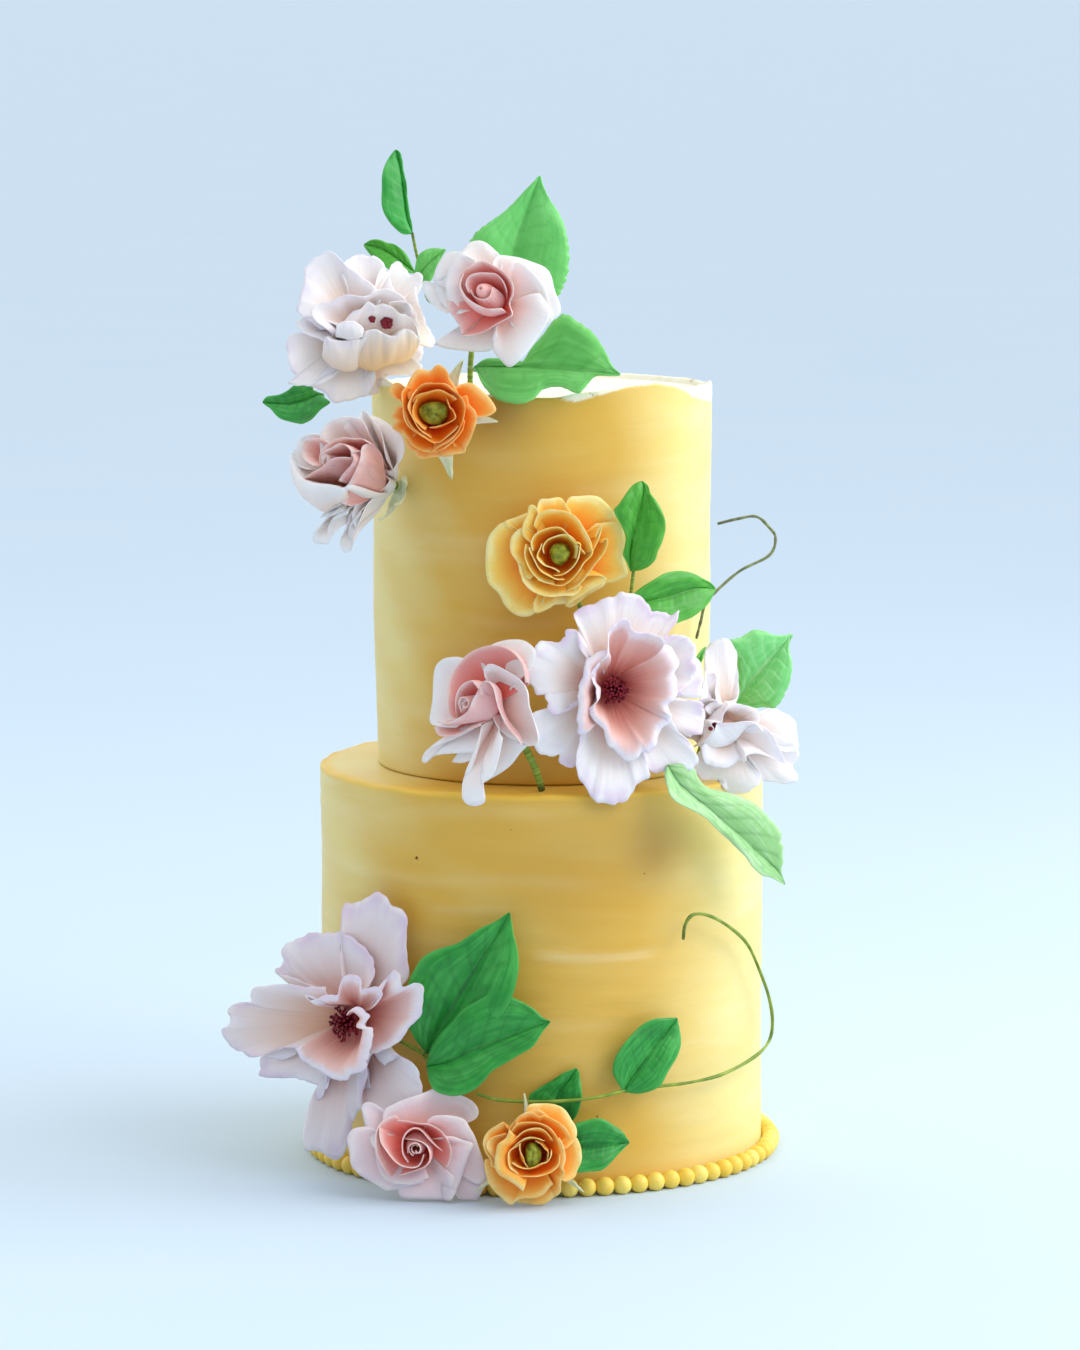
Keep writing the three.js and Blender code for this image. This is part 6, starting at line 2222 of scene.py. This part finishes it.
# TABLE BASE_RANUNCULUS
BASE_RANUNCULUS_PETALS = (
    ("flap", (40, -10), 0.4, [
        (600, 640), (590, 700), (620, 800), (660, 880), (700, 945),
    ], (12.5, 13, 13, 12)),
    ("first top", (50, 6), 0.7, [
        (490, 710), (560, 640), (642, 590), (742, 564), (822, 574), (905, 602),
    ], (12.5, 13.5, 13.5, 13)),
    ("first right", (50, 0), 0.3, [
        (790, 600), (872, 660), (932, 722), (960, 790), (930, 860),
    ], (12, 13, 13, 12.5)),
    ("first low", (62, -8), 0.6, [
        (500, 880), (582, 932), (682, 962), (772, 950), (852, 902), (932, 870), (982, 802), (996, 730),
    ], (12.5, 13.5, 14, 14, 13.5)),
    ("second left", (64, 4), 0.6, [
        (592, 645), (512, 690), (456, 742), (440, 820), (460, 902), (502, 972), (562, 1032),
    ], (13, 14, 14, 13.5, 13)),
    ("second top", (62, 6), 0.7, [
        (480, 640), (540, 560), (642, 482), (762, 450), (882, 462), (962, 512), (1010, 600),
    ], (12.5, 14, 14.5, 14, 13)),
    ("third top", (66, 6), 0.9, [
        (430, 540), (482, 480), (562, 402), (682, 370), (802, 365), (902, 400), (982, 460), (1042, 532),
        (1082, 615),
    ], (12, 13.5, 14, 13.5, 12.5)),
    ("third low", (72, -8), 0.9, [
        (470, 1040), (562, 1052), (682, 1064), (802, 1062), (902, 1032), (1000, 982), (1080, 900),
        (1100, 780),
    ], (12, 13.5, 14, 13.5, 12)),
    ("pale fold", (70, 112), 0.2, [
        (445, 445), (400, 560), (300, 640), (272, 750), (258, 850), (262, 950), (312, 1042), (402, 1102),
        (522, 1172), (632, 1262),
    ], (13.5, 13.5, 13, 13, 13.5, 14)),
    ("fourth top", (72, 20), 0.9, [
        (540, 410), (570, 330), (642, 282), (742, 250), (842, 290), (902, 270), (1002, 310), (1122, 382),
        (1202, 470), (1240, 570),
    ], (10, 11, 11.5, 11, 10)),
    ("right rim", (74, 40), 0.8, [
        (1095, 560), (1142, 660), (1162, 762), (1172, 862), (1152, 960), (1172, 1022), (1122, 1092),
        (1112, 1162), (1110, 1262), (1040, 1320),
    ], (11, 11.5, 11, 9.5, 7)),
    ("left outer", (78, 50), 0.8, [
        (420, 440), (370, 352), (272, 402), (190, 470), (142, 560), (124, 660), (150, 762), (202, 852),
        (212, 930), (300, 960),
    ], (8, 8, 8, 8.5, 9)),
    ("left inner", (76, 40), 0.8, [
        (400, 500), (330, 520), (240, 560), (178, 640), (186, 722), (242, 812), (300, 870),
    ], (9, 9.5, 10, 10)),
    ("bottom outer", (80, 70), 0.9, [
        (140, 840), (126, 920), (150, 1042), (182, 1160), (272, 1272), (382, 1372), (432, 1422),
        (492, 1430), (542, 1382), (642, 1352), (762, 1352), (882, 1312), (952, 1232), (1022, 1160),
    ], (5, 4, 4, 5, 7)),
    ("lowest", (82, 90), 0.3, [
        (540, 1330), (560, 1402), (702, 1422), (802, 1452), (902, 1430), (1002, 1362), (1082, 1282),
        (1060, 1180),
    ], (2, 1.5, 1.5, 2, 4)),
    ("top rim", (76, 50), 0.8, [
        (450, 480), (460, 430), (542, 330), (602, 262), (702, 215), (802, 205), (872, 218), (960, 280),
    ], (8, 8, 8, 8, 9)),
    ("outer right", (82, 92), 0.4, [
        (640, 300), (700, 132), (862, 110), (1002, 115), (1122, 152), (1202, 222), (1262, 322),
        (1322, 422), (1332, 520), (1300, 600), (1200, 700),
    ], (4, 2.5, 2, 2, 3, 5)),
    ("outer right low", (82, 92), 0.4, [
        (1160, 620), (1300, 540), (1372, 640), (1396, 762), (1390, 872), (1342, 982), (1300, 1082),
        (1180, 1132), (1100, 1060),
    ], (4, 2.5, 2, 2.5, 4)),
)

base_ranunculus = Frame((-4, -125, 25), 4, 6, (475, 1095), 13.07)
traced_ranunculus("base_ranunculus", base_ranunculus, (760, 790, 10), BASE_RANUNCULUS_PETALS, 4.2, 1.6, 13.0, DEEP_RANUNCULUS, 11000)
# END BASE_RANUNCULUS

calyx(
    "base_ranunculus",
    base_ranunculus,
    3,
    2,
    [(215, 31, (94, 84), 7), (320, 29, (94, 84), 7), (98, 25, (94, 88), 6)],
)

# LEAVES base
add_leaf(
    "base_leaf_upper",
    (-51, -101, 66),
    (-15, -113, 132.5),
    (-0.2, -1, 0.1),
    BASE_WINDOW,
    [
        (140, 800), (90, 740), (50, 660), (28, 560), (42, 440), (90, 350), (130, 300), (200, 260),
        (290, 230), (350, 195), (420, 150), (500, 115), (545, 85), (572, 66),
    ],
    [
        (140, 800), (200, 680), (270, 570), (330, 460), (380, 380), (440, 280), (500, 200), (572, 66),
    ],
    [
        (140, 800), (220, 765), (330, 740), (450, 680), (540, 600), (585, 510), (605, 420), (615, 330),
        (608, 250), (590, 180), (582, 120), (572, 66),
    ],
    fold=(14, 22), look=DEEP_LEAF, seed=12,
)
add_leaf(
    "base_leaf_lower",
    (-49, -111, 52),
    (4, -121, 84),
    (-0.1, -1, 0.3),
    BASE_WINDOW,
    [
        (140, 870), (165, 780), (215, 700), (270, 640), (330, 570), (400, 530), (470, 500), (540, 498),
        (600, 515), (660, 545), (710, 580), (745, 618), (785, 636),
    ],
    [
        (140, 870), (250, 850), (350, 800), (450, 760), (560, 720), (660, 680), (785, 636),
    ],
    [
        (140, 870), (150, 930), (180, 990), (240, 1020), (300, 1025), (370, 1000), (430, 950), (480, 890),
        (550, 850), (620, 810), (680, 775), (712, 740), (742, 690), (785, 636),
    ],
    arch=3, fold=(12, 24), look=DEEP_LEAF, seed=13,
)
add_leaf(
    "base_leaf_vine",
    (12, -107, 36),
    (16, -108, 60),
    (0, -1, 0),
    BASE_WINDOW,
    [
        (880, 1170), (780, 1120), (700, 1070), (680, 1025), (730, 985), (790, 950), (850, 910), (922, 880),
    ],
    [
        (880, 1170), (820, 1080), (835, 1000), (880, 945), (922, 880),
    ],
    [
        (880, 1170), (912, 1140), (935, 1090), (946, 1020), (942, 950), (935, 905), (922, 880),
    ],
    arch=0, fold=(6, 24), look=DEEP_LEAF, seed=14,
)
add_leaf(
    "base_leaf_right",
    (16, -118, 24),
    (41, -113, 27),
    (0.1, -1, 0.3),
    BASE_WINDOW,
    [
        (850, 1300), (870, 1220), (920, 1170), (980, 1150), (1050, 1150), (1110, 1175), (1160, 1210),
        (1198, 1268),
    ],
    [
        (850, 1300), (950, 1296), (1060, 1285), (1198, 1268),
    ],
    [
        (850, 1300), (870, 1380), (930, 1425), (1000, 1414), (1060, 1402), (1110, 1362), (1150, 1315),
        (1198, 1268),
    ],
    look=DEEP_LEAF, seed=15,
)
add_leaf(
    "base_leaf_tendril",
    (36, -106, 50),
    (62, -95, 80),
    (0.4, -1, 0.1),
    BASE_WINDOW,
    [
        (1168, 1002), (1130, 940), (1116, 890), (1130, 820), (1170, 750), (1220, 700), (1280, 650),
        (1340, 622), (1390, 618), (1448, 618),
    ],
    [
        (1168, 1002), (1220, 910), (1290, 820), (1340, 750), (1400, 680), (1448, 618),
    ],
    [
        (1168, 1002), (1240, 1012), (1310, 992), (1360, 960), (1400, 900), (1440, 830), (1462, 760),
        (1462, 700), (1448, 618),
    ],
    look=DEEP_LEAF, seed=16,
)
# END base
add_stem("base_spray_stem", [(-66, -93, 70), (-60, -97, 67.5), (-53, -99, 64)], 2, ends=(0.7, 0.4))
add_stem(
    "base_vine",
    [
        (-30, -117, 50),
        (-19, -117, 47),
        (2, -116, 46),
        (24, -112, 47),
        (39, -105, 49),
        (55, -96, 49),
        (69, -88, 49),
        (84, -75, 50),
        (99, -53, 53),
        (107, -36, 57),
        (109, -33, 66),
        (107, -38, 79),
        (102, -48, 94),
        (96, -58, 108),
        (88, -71, 118),
        (78, -83, 126),
        (70, -89, 128),
        (66, -92, 124),
        (65, -92, 117),
    ],
    1.6,
    ends=(0.0, 0.4),
    swell=0.14,
    steps=260,
    seed=3,
)


# Stalks behind the petals

add_stalks(
    "crown",
    [
        ([(-21, -66, 408), (-25, -61, 405.5), (-30, -56, 400), (-30.6, -55.6, 397)], (5, 7, 4.4, 3)),
        ([(-84.6, -18, 392.6), (-81.4, -14, 386), (-77.4, -9, 378), (-75, -6, 366)], (5, 7, 3, 2.4)),
        ([(-48.9, -84, 359), (-48, -76, 359), (-46.5, -60, 359)], (5, 6, 3)),
        ([(-69.5, -52.5, 323), (-66, -49, 322), (-60, -43, 321)], (4, 4.6, 3)),
        ([(-55, -9, 413), (-52.5, -16, 406), (-45, -32, 406), (-36, -48, 405), (-31, -55, 398)], (1.6, 2.6, 2.2, 2)),
        ([(-6, -16, 404), (-13, -36, 402), (-21, -60, 405)], (1.4, 2)),
        ([(-30, -66, 377), (-32, -60, 377), (-33, -54, 378)], (1.4, 2)),
        ([(-98, -12, 360), (-95, -10, 370), (-88, -14, 383), (-84, -18, 391)], (1.4, 2)),
    ],
)
add_stalks(
    "middle",
    [
        ([(7.2, -87, 294.6), (10, -84, 290), (14, -87, 283)], (5, 6, 2.6)),
        ([(-20.5, -95, 225.5), (-15, -92, 221), (-9, -96, 214)], (5, 7, 3.4)),
        ([(31, -91, 234), (30, -84, 232), (28, -70, 230)], (6, 8, 3)),
        ([(83.6, -58.5, 210.6), (80, -50, 207), (75, -40, 198), (72, -34, 184)], (5, 7, 4, 3)),
        ([(91, -24, 222), (89, -40, 218), (84.5, -57, 211.5)], (1.4, 2)),
        ([(71, -50, 238), (66, -44, 234), (61, -39, 231)], (1.4, 2)),
        ([(44, -88, 273), (42, -88.6, 271), (39.6, -89, 268)], (1.4, 1.8)),
    ],
)
add_stalks("hanging_leaf", [([(60, -98, 194), (55, -89, 197), (48, -79, 196), (43, -71, 186)], (1.6, 2.4, 2))], 0.8)
add_stalks(
    "base",
    [
        ([(-85.4, -76.2, 76), (-79, -68, 75), (-73, -61, 74)], (6, 8, 4)),
        ([(-57, -112, 26), (-54.5, -101, 28), (-50, -86, 30)], (5, 7, 3)),
        ([(-4, -124, 25), (-4.6, -112, 26), (-5, -100, 27)], (5, 6, 3)),
        ([(-49, -111, 52), (-51, -105, 57), (-53, -100, 63)], (1.6, 2)),
        ([(-51, -101, 66), (-52.5, -99.6, 64.5), (-54, -98.6, 63)], (1.6, 2.2)),
        ([(16, -118, 24), (6, -119, 25), (-3, -122, 25)], (1.4, 2)),
    ],
)


# Floor, light and camera


def make_floor():
    size = 120.0
    mesh = bpy.data.meshes.new("floor")
    mesh.from_pydata([(-size, -size, 0), (size, -size, 0), (size, size, 0), (-size, size, 0)], [], [(0, 1, 2, 3)])
    look = Look("floor", 0.9, specular=0.1)
    look.colour(look.ramp(look.noise(look.place(), 3.0, 2.0), (0.3, (197, 214, 229)), (0.7, (199, 215, 230))))
    mesh.materials.append(look.material)
    floor = bpy.data.objects.new("floor", mesh)
    bpy.context.scene.collection.objects.link(floor)


WORLD_BRIGHT_SIDE = (0.46, 0.72, 0.52)


def add_light(name, place, aim, size, power, colour):
    data = bpy.data.lights.new(name, "AREA")
    data.shape = "RECTANGLE"
    data.size, data.size_y = size
    data.energy = power
    data.color = colour
    light = bpy.data.objects.new(name, data)
    light.location = place
    direction = np.array(aim) - np.array(place)
    light.rotation_mode = "QUATERNION"
    light.rotation_quaternion = Vector(direction).to_track_quat("-Z", "Y")
    bpy.context.scene.collection.objects.link(light)


def make_world():
    """Pale studio light from all round, strongest from behind, above and the right."""
    world = bpy.data.worlds.new("studio")
    world.use_nodes = True
    tree = world.node_tree
    coordinates = tree.nodes.new("ShaderNodeTexCoord")
    towards = tree.nodes.new("ShaderNodeVectorMath")
    towards.operation = "DOT_PRODUCT"
    tree.links.new(coordinates.outputs["Generated"], towards.inputs[0])
    towards.inputs[1].default_value = WORLD_BRIGHT_SIDE
    share = tree.nodes.new("ShaderNodeMapRange")
    share.interpolation_type = "SMOOTHSTEP"
    for socket, value in zip(share.inputs[1:], (-0.95, 0.45, 0.29, 1.26)):
        socket.default_value = value
    tree.links.new(towards.outputs["Value"], share.inputs[0])
    background = tree.nodes["Background"]
    background.inputs["Color"].default_value = (0.93, 0.97, 1.0, 1.0)
    tree.links.new(share.outputs[0], background.inputs["Strength"])
    bpy.context.scene.world = world


make_floor()
make_world()
add_light("key", (1.5, 0.05, 1.15), (0, 0, 0.22), (1.2, 1.2), 16.5, (0.95, 0.98, 1.0))
add_light("rim", (-1.7, 0.4, 0.7), (0, 0, 0.25), (1.3, 1.3), 2.5, (0.88, 0.95, 1.0))
add_light("front", (1.5, -1.25, 1.7), (0, 0, 0.25), (0.9, 0.9), 12, (1.0, 0.98, 0.96))

camera = bpy.data.cameras.new("camera")
camera.sensor_width = SENSOR
camera.lens = LENS
camera.clip_start, camera.clip_end = 0.05, 500.0
viewer = bpy.data.objects.new("camera", camera)
viewer.location = [MM * share for share in CAMERA_PLACE]
viewer.rotation_euler = (math.pi / 2 - CAMERA_DIP, 0, 0)
bpy.context.scene.collection.objects.link(viewer)
bpy.context.scene.camera = viewer
bpy.context.scene.view_settings.view_transform = "Standard"
